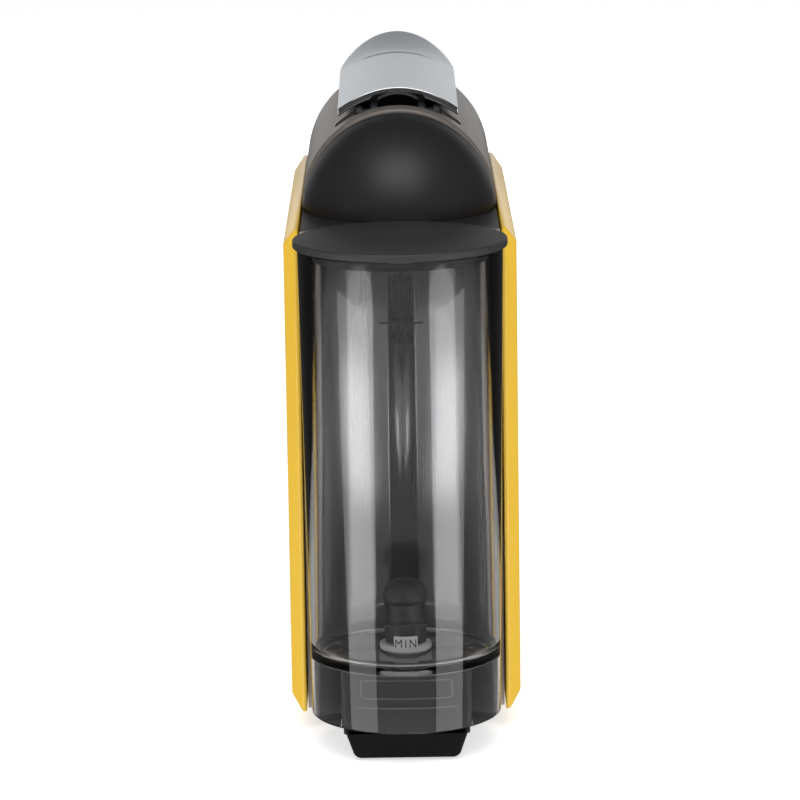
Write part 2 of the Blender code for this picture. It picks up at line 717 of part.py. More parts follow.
def lever_trim():
    """The bright strip across the lever's rear edge, thinner over the middle."""
    notch, thick, thin = 0.0118, 0.0037, 0.0021
    places = [HANDLE_HALF * (step / 12 - 1) for step in range(25)]
    top = [(x, handle_top(x, HANDLE_REAR)) for x in places]
    under = [(x, z - (thin if abs(x) < notch else thick)) for x, z in reversed(top)]
    trim = slab("lever_trim", top + under, "Y", HANDLE_REAR + GAP, HANDLE_REAR + 0.0030, CHROME)
    return hang(trim, PIVOT)


def hull(points):
    """The smallest convex outline round some points."""
    ordered = sorted(points)

    def half(walk):
        chain = []
        for point in walk:
            while len(chain) > 1 and turn(chain[-2], chain[-1], point) <= 1e-12:
                chain.pop()
            chain.append(point)
        return chain[:-1]

    def turn(a, b, c):
        return (b[0] - a[0]) * (c[1] - a[1]) - (b[1] - a[1]) * (c[0] - a[0])

    return half(ordered) + half(reversed(ordered))


def lever_yoke():
    """Two crank arms under the lever, tied together at their front ends."""
    pivot, crank = (PIVOT.y, PIVOT.z), (CRANK.y, CRANK.z)
    forward = (PIVOT.y - 0.0560, PIVOT.z + 0.0052)
    outline = hull([*circle(pivot, 0.0045), *circle(crank, 0.0044), *circle(forward, 0.0024, 12)])
    holes = (circle(pivot, PIN_R + RUNNING), circle(crank, PIN_R + RUNNING))
    yoke = slab("lever_yoke", outline, "X", -0.0125, -0.0095, BLACK, holes)
    fuse(yoke, slab("arm", outline, "X", 0.0095, 0.0125, BLACK, holes))
    fuse(yoke, rod("tie", 0.0018, (-0.0110, *forward), (0.0110, *forward), BLACK, 12))
    return hang(yoke, PIVOT)


def cross_pin(name, centre, half_length, origin):
    """A steel pin lying across the machine."""
    reach = Vector((half_length, 0, 0))
    return hang(rod(name, PIN_R, centre - reach, centre + reach, STEEL), origin)


def toggle_link(name, side):
    """A flat link from the crank pin to the brew piston."""
    crank, end = (CRANK.y, CRANK.z), (LINK_END.y, LINK_END.z)
    holes = (circle(crank, PIN_R + RUNNING), circle(end, PIN_R + RUNNING))
    near, far = sorted((side * 0.0130, side * 0.0150))
    return hang(slab(name, bar_outline(crank, end, 0.0043), "X", near, far, STEEL, holes), CRANK)


def brew_frame():
    """The fixed frame of the brew unit: two side plates, two ears for the lever's pin and a rear plate."""
    bottom = DECK_TOP + GAP
    rear = PIVOT_Y + 0.0110
    frame = block("brew_frame", (-0.0228, rear - 0.0030, bottom), (0.0228, rear, bottom + 0.0085), STEEL)
    for side in (-1, 1):
        near, far = sorted((side * 0.0203, side * 0.0228))
        fuse(frame, block("plate", (near, -0.1112, bottom), (far, rear - 0.0010, BREW_Z + 0.0120), STEEL))
        near, far = sorted((side * 0.0166, side * 0.0194))
        ear = bar_outline((PIVOT.y, bottom + 0.0100), (PIVOT.y, PIVOT.z), 0.0038)
        fuse(frame, slab("ear", ear, "X", near, far, STEEL))
        near, far = sorted((side * 0.0190, side * 0.0210))
        low, high = (near, PIVOT.y - 0.0030, bottom + 0.010), (far, PIVOT.y + 0.0030, BREW_Z)
        fuse(frame, block("bridge", low, high, STEEL))
    ends = Vector((0.030, 0, 0))
    return cut(frame, rod("pin_hole", PIN_R + RUNNING, PIVOT - ends, PIVOT + ends, STEEL, 20))


def capsule_holder():
    """The ring that the capsule is pushed into."""
    profile = [(0.0220, -0.1120), (0.0220, -0.1300), (HOLDER_BORE, -0.1300), (HOLDER_BORE, -0.1120)]
    return turned("capsule_holder", profile, (0.0, 0.0, BREW_Z), BLACK, "Y", 32)


def extraction_plate():
    """The plate in front of the holder that the coffee leaves through."""
    profile = [(0.0, -0.1303), (0.0200, -0.1303), (0.0200, -0.1326)]
    profile += [(0.0060, -0.1326), (0.0060, -0.1345), (0.0, -0.1345)]
    return turned("extraction_plate", profile, (0.0, 0.0, BREW_Z), STEEL, "Y", 32, ring=False)


def brew_piston():
    """The piston that pushes the capsule forward, with a stem for the links' pin."""
    profile = [(0.0, -0.0617), (0.0090, -0.0617), (0.0090, -0.0840)]
    profile += [(0.0178, -0.0860), (0.0178, -0.0980), (0.0, -0.0980)]
    piston = turned("brew_piston", profile, (0.0, 0.0, BREW_Z), BLACK, "Y", 32, ring=False)
    ends = Vector((0.020, 0, 0))
    cut(piston, rod("pin_hole", PIN_R + RUNNING, LINK_END - ends, LINK_END + ends, STEEL, 20))
    return piston


def piston_seal():
    """The flat seal on the piston's face."""
    profile = [(0.0170, -0.0983), (0.0170, -0.0996), (0.0120, -0.0996), (0.0120, -0.0983)]
    return turned("piston_seal", profile, (0.0, 0.0, BREW_Z), SILICONE, "Y", 28)


def piercing_plate():
    """The disc on the piston's face, with three needles that open the back of the capsule."""
    plate = rod("piercing_plate", 0.0110, (0, -0.0983, BREW_Z), (0, -0.0993, BREW_Z), STEEL, 24)
    for index in range(3):
        angle = math.radians(90 + 120 * index)
        x, z = 0.007 * math.cos(angle), BREW_Z + 0.007 * math.sin(angle)
        fuse(plate, rod("needle", 0.0013, (x, -0.0986, z), (x, -0.1040, z), STEEL, 10, 0.0002))
    return plate


def capsule_chute():
    """The slanted duct that drops used capsules into the bin."""
    top, bottom, wall = DECK_UNDER - GAP, BIN_TOP + 0.0030, 0.0018
    front_top, rear_top, front_low, rear_low = -0.1180, -0.0680, -0.0860, -0.0400
    outline = [(front_low, bottom), (rear_low, bottom), (rear_top, top), (front_top, top)]
    chute = slab("capsule_chute", outline, "X", -0.0245, 0.0245, BLACK)
    past = 0.1
    front_run = (front_low - front_top) * past
    rear_run = (rear_low - rear_top) * past
    height_run = (top - bottom) * past
    inner = [(front_low + wall + front_run, bottom - height_run)]
    inner += [(rear_low - wall + rear_run, bottom - height_run)]
    inner += [(rear_top - wall - rear_run, top + height_run)]
    inner += [(front_top + wall - front_run, top + height_run)]
    return cut(chute, slab("duct", inner, "X", wall - 0.0245, 0.0245 - wall, BLACK))


def coffee_spout():
    """The round outlet under the head."""
    top, flange, bottom = HEAD_UNDER + 0.0180, HEAD_UNDER + 0.0048, HEAD_UNDER - 0.0160
    profile = [(SPOUT_R - 0.0015, top), (SPOUT_R - 0.0010, flange + 0.0020)]
    profile += [(SPOUT_R + 0.0025, flange + 0.0020)]
    profile += [(SPOUT_R + 0.0025, flange), (SPOUT_R, flange)]
    profile += [(SPOUT_R, bottom + 0.0060), (SPOUT_R - 0.0025, bottom)]
    profile += [(0.0030, bottom), (0.0030, top)]
    return turned("coffee_spout", profile, (0.0, SPOUT_Y, 0.0), BLACK, sides=28)


def coffee_pipe():
    """The short pipe from the holder to the spout."""
    top = BREW_Z - 0.0225
    low = HEAD_UNDER + 0.0184
    points = [(0, -0.1255, top), (0, -0.1255, top - 0.012), (0, -0.1225, (top + low) / 2 - 0.003)]
    points += [(0, SPOUT_Y, low + 0.005), (0, SPOUT_Y, low)]
    return hose("coffee_pipe", points, 0.0022, SILICONE)


def push_button(name, side):
    """A round push button with a flange behind the head's front."""
    front = HEAD_Y + 0.0009
    back = front + SHEET + GAP
    out = front - 0.0016
    profile = [(0.0, back + 0.0015), (BUTTON_R + 0.0015, back + 0.0015)]
    profile += [(BUTTON_R + 0.0015, back), (BUTTON_R, back)]
    profile += [(BUTTON_R, out + 0.0005), (BUTTON_R - 0.0006, out), (0.0, out)]
    return turned(name, profile, (side * BUTTON_X, 0.0, BUTTON_Z), SILVER, "Y", 24, ring=False)


def control_board():
    """The circuit board behind the buttons, with the two small switches that they press."""
    back = HEAD_Y + 0.0082
    low, high = (-0.0300, back, BUTTON_Z - 0.0120), (0.0300, back + 0.0016, BUTTON_Z + 0.0120)
    board = block("control_board", low, high, BOARD)
    for side in (-1, 1):
        x = side * BUTTON_X
        low = (x - 0.003, back - 0.0012, BUTTON_Z - 0.003)
        high = (x + 0.003, back + 0.0005, BUTTON_Z + 0.003)
        fuse(board, block("switch", low, high, BLACK))
    return board


def pump_body():
    """The vibrating pump: a tube with a square coil round its middle."""
    x, y = PUMP
    pump = rod("pump_body", 0.0110, (x, y, 0.0340), (x, y, 0.1300), STEEL, 24)
    low, high = (x - 0.0170, y - 0.0170, 0.0620), (x + 0.0170, y + 0.0170, 0.1040)
    return fuse(pump, block("coil", low, high, BLACK))


def pump_mount():
    """The rubber ring that the pump stands in."""
    low = 0.0460
    profile = [(0.0160, low + 0.0080), (0.0160, low), (0.0113, low), (0.0113, low + 0.0080)]
    return turned("pump_mount", profile, (*PUMP, 0.0), RUBBER, sides=24)


def pump_bracket():
    """The plate that holds the pump's rubber ring, turned down at its side."""
    x, y = PUMP
    edge = x - 0.0252
    outline = rectangle((edge, y - 0.0200), (x + 0.0200, y + 0.0180))
    bracket = slab("pump_bracket", outline, "Z", 0.0480, 0.0520, BLACK, [circle(PUMP, 0.0164, 24)])
    low = (edge, y - 0.0170, FLOOR_Z + FLOOR_THICK + GAP)
    return fuse(bracket, block("leg", low, (edge + 0.0030, y + 0.0030, 0.0500), BLACK))


def thermoblock():
    """The heater block."""
    low, high = (-0.0300, 0.0200, 0.1500), (0.0300, 0.0560, 0.2050)
    return soften(block("thermoblock", low, high, ALUMINIUM), 0.003)


def flow_meter():
    """The round meter that counts the water."""
    x, y = METER
    low = FLOOR_Z + FLOOR_THICK + 0.0006
    return rod("flow_meter", 0.0110, (x, y, low), (x, y, low + 0.0180), WHITE, 24)


def power_board():
    """The upright board with the mains parts: two capacitors and a relay."""
    board = block("power_board", (0.0340, 0.0100, 0.0700), (0.0356, 0.0600, 0.1400), BOARD)
    for y, z in ((0.024, 0.088), (0.046, 0.092)):
        fuse(board, rod("capacitor", 0.0045, (0.0345, y, z), (0.0220, y, z), BLACK, 14))
    return fuse(board, block("relay", (0.0200, 0.0240, 0.1120), (0.0345, 0.0440, 0.1300), BLACK))


def suction_hose():
    """The hose from the tank's socket to the flow meter."""
    x, y = HOSE_HOLE
    points = [(0, TANK_Y, 0.0156), (0, TANK_Y, 0.0132)]
    points += [(0, TANK_Y - 0.005, 0.0090), (0, TANK_Y - 0.018, 0.0080)]
    points += [(0.003, 0.0800, 0.0080), (0.0095, 0.0640, 0.0085), (x, y, 0.0125), (x, y, 0.0190)]
    points += [(x + 0.0022, y - 0.0030, 0.0235), (x + 0.0063, y - 0.0086, 0.0240)]
    return hose("suction_hose", points, HOSE_R, SILICONE)


def feed_hose():
    """The hose from the flow meter to the pump."""
    x, y = PUMP
    points = [(METER[0] - 0.0116, y, 0.0220), (0.0, y, 0.0205)]
    points += [(x + 0.005, y, 0.0215), (x, y, 0.0270), (x, y, 0.0336)]
    return hose("feed_hose", points, HOSE_R, SILICONE)


def pressure_hose():
    """The hose from the pump to the heater."""
    x, y = PUMP
    points = [(x, y, 0.1304), (x, y, 0.1335), (x + 0.002, y - 0.002, 0.1400)]
    points += [(x, y, 0.1465), (x, y, 0.1496)]
    return hose("pressure_hose", points, HOSE_R, SILICONE)


def brew_hose():
    """The flexible hose from the heater to the moving piston."""
    points = [(0, 0.0340, 0.2054), (0, 0.0340, 0.2085), (0, 0.0290, 0.2160)]
    points += [(0, 0.0240, DECK_UNDER - 0.003), (0, 0.0240, DECK_TOP + 0.003)]
    points += [(0, 0.0160, BREW_Z - 0.008), (0, 0.0, BREW_Z - 0.001)]
    points += [(0, -0.0300, BREW_Z), (0, -0.0614, BREW_Z)]
    return hose("brew_hose", points, 0.0022, SILICONE)


def capsule_bin():
    """The box that catches the used capsules, with its front plate and a finger hollow."""
    low, high = (-BIN_HALF, FRONT_Y - 0.0020), (BIN_HALF, BIN_REAR)
    wall = 0.0018
    front = FRONT_Y - 0.0030
    half = INNER - 0.0010
    low_z, high_z = TRAY_TOP + GRID_THICK + 0.0010, HEAD_UNDER - NECK_DROP - 0.0012
    box = slab("capsule_bin", rectangle(low, high), "Z", BIN_BOTTOM, BIN_TOP, BLACK)
    fuse(box, block("plate", (-half, front, low_z), (half, FRONT_Y + 0.0007, high_z), GLOSS))
    low, high = (low[0] + wall, FRONT_Y + 0.0024), (high[0] - wall, high[1] - wall)
    inside = slab("inside", rectangle(low, high, 0.003), "Z", BIN_BOTTOM + wall, high_z + 0.01, BLACK)
    grip = rectangle((-0.0200, high_z - 0.0340), (0.0200, high_z - 0.0180), 0.006)
    return cut(box, inside, slab("grip", grip, "Y", front - 0.002, front + 0.0021, GLOSS))


def tray_outline(inset):
    """The drip tray's plan, round at its front corners."""
    low, high = (inset - TRAY_HALF, TRAY_FRONT + inset), (TRAY_HALF - inset, FRONT_Y - 0.0038 - inset)
    radius = 0.0110 - inset
    points = arc((low[0] + radius, low[1] + radius), radius, 180, 270, 5)
    points += arc((high[0] - radius, low[1] + radius), radius, 270, 360, 5)
    return [*points, high, (low[0], high[1])]


def drip_tray():
    """The tray that catches the drips."""
    tray = slab("drip_tray", tray_outline(0.0), "Z", 0.0043, TRAY_TOP, GLOSS)
    return cut(tray, slab("inside", tray_outline(0.0022), "Z", 0.0065, TRAY_TOP + 0.01, GLOSS))


def drip_grid():
    """The slotted plate that the cup stands on."""
    low = TRAY_TOP + GAP
    middles = [0.0090 * step for step in range(-3, 4)]
    slots = [rectangle((x - 0.0020, -0.1550), (x + 0.0020, -0.1040)) for x in middles]
    return slab("drip_grid", tray_outline(0.0006), "Z", low, low + GRID_THICK, CHROME, slots)


side_panel("side_panel_left", 1)
side_panel("side_panel_right", -1)
tunnel_cover()
rear_dome()
front_cap()
head_cover()
top_deck()
rear_wall()
inner_frame("inner_frame_left", 1)
inner_frame("inner_frame_right", -1)
base()
foot_cover()
cord_gland()
for side_name, foot_x in (("right", -0.036), ("left", 0.036)):
    rubber_foot(f"front_foot_{side_name}", foot_x, FRONT_Y + 0.0130)
    rubber_foot(f"middle_foot_{side_name}", foot_x, 0.0340)
    case_screw(f"case_screw_{side_name}", foot_x * 0.7, 0.0100)
rear_foot_pad()
water_tank()
tank_lid()
tank_valve_body()
tank_valve_plunger()
tank_valve_spring()
tank_filter()
tank_socket()
lever_handle()
lever_trim()
lever_yoke()
cross_pin("lever_pin", PIVOT, 0.0193, PIVOT)
cross_pin("crank_pin", CRANK, 0.0156, PIVOT)
toggle_link("toggle_link_right", -1)
toggle_link("toggle_link_left", 1)
brew_frame()
capsule_holder()
extraction_plate()
brew_piston()
cross_pin("piston_pin", LINK_END, 0.0124, LINK_END)
piston_seal()
piercing_plate()
capsule_chute()
coffee_spout()
coffee_pipe()
push_button("espresso_button", -1)
push_button("lungo_button", 1)
control_board()
pump_body()
pump_mount()
pump_bracket()
thermoblock()
flow_meter()
power_board()
suction_hose()
feed_hose()
pressure_hose()
brew_hose()
capsule_bin()
drip_tray()
drip_grid()
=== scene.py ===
"""Pod coffee machine: the looks of the slim machine with a lever on top and a clear tank at the back."""
import math

import bmesh
import bpy
from mathutils import Matrix, Vector


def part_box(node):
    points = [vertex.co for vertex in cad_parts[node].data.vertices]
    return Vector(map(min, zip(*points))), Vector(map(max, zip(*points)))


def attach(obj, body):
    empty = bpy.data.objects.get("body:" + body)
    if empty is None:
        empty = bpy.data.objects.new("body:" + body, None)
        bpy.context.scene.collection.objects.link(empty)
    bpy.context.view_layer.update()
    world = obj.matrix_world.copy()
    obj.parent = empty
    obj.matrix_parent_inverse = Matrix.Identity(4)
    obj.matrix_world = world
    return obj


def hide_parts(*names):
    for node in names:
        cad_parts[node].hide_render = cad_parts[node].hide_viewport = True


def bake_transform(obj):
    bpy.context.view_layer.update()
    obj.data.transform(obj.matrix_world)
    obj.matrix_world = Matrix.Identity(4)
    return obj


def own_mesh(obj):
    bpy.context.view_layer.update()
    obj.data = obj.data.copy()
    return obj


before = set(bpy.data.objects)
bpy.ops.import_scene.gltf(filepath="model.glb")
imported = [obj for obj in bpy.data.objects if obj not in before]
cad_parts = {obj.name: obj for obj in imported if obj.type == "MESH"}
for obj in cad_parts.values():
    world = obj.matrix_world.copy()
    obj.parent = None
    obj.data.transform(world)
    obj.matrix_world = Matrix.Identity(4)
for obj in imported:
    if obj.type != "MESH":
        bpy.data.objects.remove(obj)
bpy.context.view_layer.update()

# ------------------------------------------------------------------------------------------------------
# Side panels: two dished covers moulded in yellow plastic with a satin skin. Each has a narrow flat
# rim, a wide sloping border all round and a flat middle, and clips onto the frame behind it.


class Amount:
    """A number socket that can stand in a sum."""

    def __init__(self, finish, socket):
        self.finish, self.socket = finish, socket

    def sum_with(self, operation, first, second):
        maths = self.finish.node("ShaderNodeMath", {"operation": operation}, {0: first, 1: second})
        return Amount(self.finish, maths.outputs[0])

    def __add__(self, other):
        return self.sum_with("ADD", self, other)

    def __radd__(self, other):
        return self.sum_with("ADD", other, self)

    def __rsub__(self, other):
        return self.sum_with("SUBTRACT", other, self)

    def __mul__(self, other):
        return self.sum_with("MULTIPLY", self, other)


class Finish:
    """A material under construction, with one way to add a node to it."""

    def __init__(self, name):
        self.material = bpy.data.materials.new(name)
        self.material.use_nodes = True
        self.tree = self.material.node_tree
        self.shader = self.tree.nodes["Principled BSDF"]
        self.place = self.node("ShaderNodeTexCoord").outputs["Object"]

    def feed(self, socket, value):
        if isinstance(value, Amount):
            value = value.socket
        if isinstance(value, bpy.types.NodeSocket):
            self.tree.links.new(value, socket)
        else:
            socket.default_value = value

    def node(self, kind, settings=None, values=None):
        made = self.tree.nodes.new(kind)
        for key, value in (settings or {}).items():
            setattr(made, key, value)
        for key, value in (values or {}).items():
            self.feed(made.inputs[key], value)
        return made

    def grain(self, scale, detail=3.0, stretch=(1.0, 1.0, 1.0)):
        """Soft random noise from 0 to 1, stretched along an axis where the finish is drawn out."""
        place = self.node("ShaderNodeMapping", values={"Vector": self.place, "Scale": stretch}).outputs[0]
        noise = self.node("ShaderNodeTexNoise", values={"Vector": place, "Scale": scale, "Detail": detail})
        return Amount(self, noise.outputs["Fac"])

    def blend_colours(self, share, first, second):
        """A colour between two, each given as three numbers or as another blend."""
        ends = [(*colour, 1.0) if isinstance(colour, tuple) else colour for colour in (first, second)]
        mix = self.node("ShaderNodeMix", {"data_type": "RGBA"}, {0: share, 6: ends[0], 7: ends[1]})
        return mix.outputs[2]

    def relief(self, height, depth):
        """A bump of that depth in metres over the piece's own surface."""
        return self.node("ShaderNodeBump", values={"Height": height, "Distance": depth}).outputs[0]

    def dress(self, **values):
        """Sets the shader's sockets by their names, written with underscores."""
        for key, value in values.items():
            self.feed(self.shader.inputs[key.replace("_", " ")], value)
        return self.material


def panel_finish():
    """Yellow plastic: faint clouding in the colour, a fine orange peel and a soft satin skin."""
    finish = Finish("yellow satin plastic")
    cloud = finish.grain(14.0)
    peel = finish.grain(950.0, 2.0)
    scuff = finish.grain(60.0, 6.0, (1.0, 1.0, 0.2))
    return finish.dress(
        Base_Color=finish.blend_colours(cloud, (0.730, 0.440, 0.022), (0.790, 0.500, 0.038)),
        Roughness=0.27 + cloud * 0.05 + scuff * 0.06,
        Coat_Weight=0.25,
        Coat_Roughness=0.20,
        Normal=finish.relief(peel, 0.000012),
    )


def finished(name, shape, body, finish, replaced=(), smooth=32):
    """A piece from a bmesh, shaded smooth across its soft edges. It rides on its body, where it has one."""
    mesh = bpy.data.meshes.new(name)
    shape.to_mesh(mesh)
    shape.free()
    mesh.shade_smooth()
    mesh.set_sharp_from_angle(angle=math.radians(smooth))
    piece = bpy.data.objects.new(name, mesh)
    bpy.context.scene.collection.objects.link(piece)
    piece.data.materials.append(finish)
    if body:
        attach(piece, body)
    if replaced:
        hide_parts(*replaced)
    return piece


def tidy(shape):
    """Merges what a spin or a mirror left double and turns every face outwards."""
    bmesh.ops.remove_doubles(shape, verts=shape.verts, dist=0.000005)
    bmesh.ops.recalc_face_normals(shape, faces=shape.faces)


def sharp_edges(shape, angle=30):
    """The edges between faces that meet at more than that many degrees."""
    shape.normal_update()
    limit = math.radians(angle)
    return [edge for edge in shape.edges if edge.is_manifold and edge.calc_face_angle(0.0) > limit]


def round_over(shape, edges, width, segments=4):
    """Rounds those edges over by that width."""
    bmesh.ops.bevel(
        shape,
        geom=edges,
        offset=width,
        offset_type="OFFSET",
        segments=segments,
        profile=0.5,
        affect="EDGES",
        material=-1,
        clamp_overlap=True,
    )


def extruded(shape, faces, along):
    """Draws faces out into a solid, which the first faces close, and gives back the moved faces."""
    grown = bmesh.ops.extrude_face_region(shape, geom=faces, use_keep_orig=True)["geom"]
    moved = [part for part in grown if isinstance(part, bmesh.types.BMVert)]
    bmesh.ops.translate(shape, vec=along, verts=moved)
    return [part for part in grown if isinstance(part, bmesh.types.BMFace)]


PANEL_SLOPE = 0.0070
PANEL_RIM = 0.0018
PANEL_EDGE_ROUND = 0.0007
HEAD_HEIGHT = 0.0590
NECK = 0.0170
FRONT_EDGE = -0.0910
yellow = panel_finish()
for side, node in ((1, "side_panel_left"), (-1, "side_panel_right")):
    low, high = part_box(node)
    head_under = high.z - HEAD_HEIGHT
    corners = [(high.y, low.z), (high.y, high.z), (low.y, high.z), (low.y, head_under)]
    corners += [(FRONT_EDGE, head_under - NECK), (FRONT_EDGE, low.z)]
    near = min(abs(low.x), abs(high.x))
    depth = high.x - low.x
    shape = bmesh.new()
    shape.faces.new([shape.verts.new((near, y, z)) for y, z in corners])
    bmesh.ops.recalc_face_normals(shape, faces=shape.faces)
    if shape.faces[:][0].normal.x < 0:
        bmesh.ops.reverse_faces(shape, faces=shape.faces)
    top = extruded(shape, list(shape.faces), (PANEL_RIM, 0, 0))
    bmesh.ops.recalc_face_normals(shape, faces=shape.faces)
    bmesh.ops.inset_region(
        shape, faces=top, thickness=PANEL_SLOPE, depth=depth - PANEL_RIM, use_even_offset=True
    )
    round_over(shape, sharp_edges(shape, 20), PANEL_EDGE_ROUND)
    if side < 0:
        bmesh.ops.scale(shape, vec=(-1.0, 1.0, 1.0), verts=shape.verts)
    bmesh.ops.recalc_face_normals(shape, faces=shape.faces)
    name = node.replace("side_panel", "yellow_panel")
    finished(name, shape, "housing", yellow, [node], 24)

# ------------------------------------------------------------------------------------------------------
# Tunnel cover: the half-round top of the machine, moulded in a warm grey with a lightly brushed, satin
# skin and a rounded rear rim. It is slotted for the lever, wider where the lever turns. A flat cap
# closes its front.


def tunnel_finish():
    finish = Finish("brushed warm grey")
    streak = finish.grain(240.0, 4.0, (1.0, 0.03, 1.0))
    cloud = finish.grain(18.0)
    return finish.dress(
        Base_Color=finish.blend_colours(streak, (0.120, 0.103, 0.091), (0.180, 0.160, 0.143)),
        Metallic=0.25,
        Roughness=0.36 + streak * 0.12 + cloud * 0.04,
        Normal=finish.relief(streak, 0.00002),
    )


def carved(piece, *cutters):
    """The piece's mesh with the cutters taken out of it. The cutters are then thrown away."""
    for cutter in cutters:
        step = piece.modifiers.new("carve", "BOOLEAN")
        step.operation = "DIFFERENCE"
        step.solver = "EXACT"
        step.object = cutter
    bpy.context.view_layer.update()
    view = bpy.context.evaluated_depsgraph_get()
    mesh = bpy.data.meshes.new_from_object(piece.evaluated_get(view))
    piece.modifiers.clear()
    piece.data = mesh
    for cutter in cutters:
        bpy.data.objects.remove(cutter)
    mesh.shade_smooth()
    mesh.set_sharp_from_angle(angle=math.radians(30))
    return piece


def block(low, high):
    low, high = Vector(low), Vector(high)
    shape = bmesh.new()
    bmesh.ops.create_cube(shape, size=1.0)
    bmesh.ops.scale(shape, vec=high - low, verts=shape.verts)
    bmesh.ops.translate(shape, vec=(low + high) / 2, verts=shape.verts)
    return shape


def edges_along(shape, axis):
    """A block's edges that run along x, y or z, which are axis 0, 1 or 2."""
    return [edge for edge in shape.edges if abs((edge.verts[0].co - edge.verts[1].co)[axis]) > 0.00001]


def cutter_from(shape):
    """A shape that is only used to cut with."""
    mesh = bpy.data.meshes.new("cutter")
    shape.to_mesh(mesh)
    shape.free()
    cutter = bpy.data.objects.new("cutter", mesh)
    bpy.context.scene.collection.objects.link(cutter)
    return cutter


def cutting_block(low, high, corner, axis):
    """A block to cut with, with round corners along one axis."""
    shape = block(low, high)
    round_over(shape, edges_along(shape, axis), corner, 6)
    return cutter_from(shape)


def eased(piece, width, segments=3, angle=35):
    """A small round along every sharp edge of a finished piece."""
    step = piece.modifiers.new("eased edges", "BEVEL")
    step.width = width
    step.segments = segments
    step.limit_method = "ANGLE"
    step.angle_limit = math.radians(angle)
    step.harden_normals = True
    return piece


warm_grey = tunnel_finish()
TUNNEL_WALL = 0.0025
low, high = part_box("tunnel_cover")
tunnel_r = high.x
spring = high.z - tunnel_r
shape = bmesh.new()
inner_r = tunnel_r - TUNNEL_WALL
corners = [(tunnel_r, low.y), (tunnel_r, high.y), (inner_r, high.y), (inner_r, low.y)]
wall = shape.faces.new([shape.verts.new((x, y, spring)) for x, y in corners])
bmesh.ops.spin(
    shape,
    geom=[wall, *wall.edges, *wall.verts],
    cent=(0, 0, spring),
    axis=(0, -1, 0),
    angle=math.pi,
    steps=72,
)
bmesh.ops.remove_doubles(shape, verts=shape.verts, dist=0.000005)
ends = [face for face in shape.faces if all(abs(vert.co.z - spring) < 1e-6 for vert in face.verts)]
skirt = bmesh.ops.extrude_face_region(shape, geom=ends)
lowered = [part for part in skirt["geom"] if isinstance(part, bmesh.types.BMVert)]
bmesh.ops.translate(shape, vec=(0, 0, low.z - spring), verts=lowered)
tidy(shape)
rear_rim = [
    edge
    for edge in shape.edges
    if all(abs(vert.co.y - high.y) < 1e-6 for vert in edge.verts)
    and all(math.hypot(vert.co.x, max(0.0, vert.co.z - spring)) > tunnel_r - 0.0001 for vert in edge.verts)
]
round_over(shape, rear_rim, 0.0021, 6)
tunnel = finished("tunnel_shell", shape, "housing", warm_grey, ["tunnel_cover"])
SLOT_HALF = 0.0200
SLOT_ENDS = (-0.1220, 0.0154)
NOTCH_HALF = 0.0292
NOTCH_ENDS = (-0.0025, 0.0103)
over, under = high.z + 0.01, spring + 0.01
cutters = [
    cutting_block((-half_wide, ends[0], under), (half_wide, ends[1], over), corner, 2)
    for half_wide, ends, corner in ((SLOT_HALF, SLOT_ENDS, 0.004), (NOTCH_HALF, NOTCH_ENDS, 0.003))
]
eased(carved(tunnel, *cutters), 0.0004, 2)

low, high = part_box("front_cap")
shape = bmesh.new()
bmesh.ops.create_circle(shape, cap_ends=True, segments=144, radius=high.x)
bmesh.ops.bisect_plane(
    shape,
    geom=[*shape.verts, *shape.edges, *shape.faces],
    dist=1e-6,
    plane_co=(0, low.z - (high.z - high.x), 0),
    plane_no=(0, -1, 0),
    clear_outer=True,
)
bmesh.ops.rotate(shape, cent=(0, 0, 0), matrix=Matrix.Rotation(math.pi / 2, 3, "X"), verts=shape.verts)
bmesh.ops.translate(shape, vec=(0, high.y, high.z - high.x), verts=shape.verts)
extruded(shape, list(shape.faces), (0, low.y - high.y, 0))
tidy(shape)
round_over(shape, sharp_edges(shape, 50), 0.0011, 5)
finished("front_end_cap", shape, "housing", warm_grey, ["front_cap"])

# ------------------------------------------------------------------------------------------------------
# Rear dome: a quarter-round cap behind the tunnel, moulded in black plastic with a very fine even
# texture that spreads the light into one wide soft patch. It drops into the tunnel's rear end and onto
# the deck.


def satin_black(name, colour, rough, speckle=2600.0, depth=0.000010, shine=0.5):
    """Black plastic from a finely textured mould, with a slightly uneven sheen."""
    finish = Finish(name)
    texture = finish.grain(speckle, 2.0)
    cloud = finish.grain(35.0)
    light = tuple(channel * 1.5 for channel in colour)
    return finish.dress(
        Base_Color=finish.blend_colours(cloud, colour, light),
        Specular_IOR_Level=shine,
        Roughness=rough + texture * 0.08 + cloud * 0.05,
        Normal=finish.relief(texture, depth),
    )


DOME_WALL = 0.0025
low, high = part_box("rear_dome")
dome_black = satin_black("dome black", (0.0120, 0.0110, 0.0120), 0.42)
shape = bmesh.new()
bmesh.ops.create_uvsphere(shape, u_segments=112, v_segments=56, radius=high.x)
for away in ((0, 0, -1), (0, -1, 0)):
    bmesh.ops.bisect_plane(
        shape,
        geom=[*shape.verts, *shape.edges, *shape.faces],
        dist=1e-6,
        plane_co=(0, 0, 0),
        plane_no=away,
        clear_outer=True,
    )
bmesh.ops.translate(shape, vec=(0, low.y, low.z), verts=shape.verts)
tidy(shape)
dome = finished("dome_cap", shape, "housing", dome_black, ["rear_dome"])
wall = dome.modifiers.new("wall", "SOLIDIFY")
wall.thickness = DOME_WALL
wall.offset = -1.0
eased(dome, 0.0004, 2, 50)

# ------------------------------------------------------------------------------------------------------
# Lever: a crowned handle painted in satin silver, with a shallow crease where its front turns up into a
# grip, and a chromed strip across its rear edge that is thinner over the middle. Both turn on the
# lever's pin.


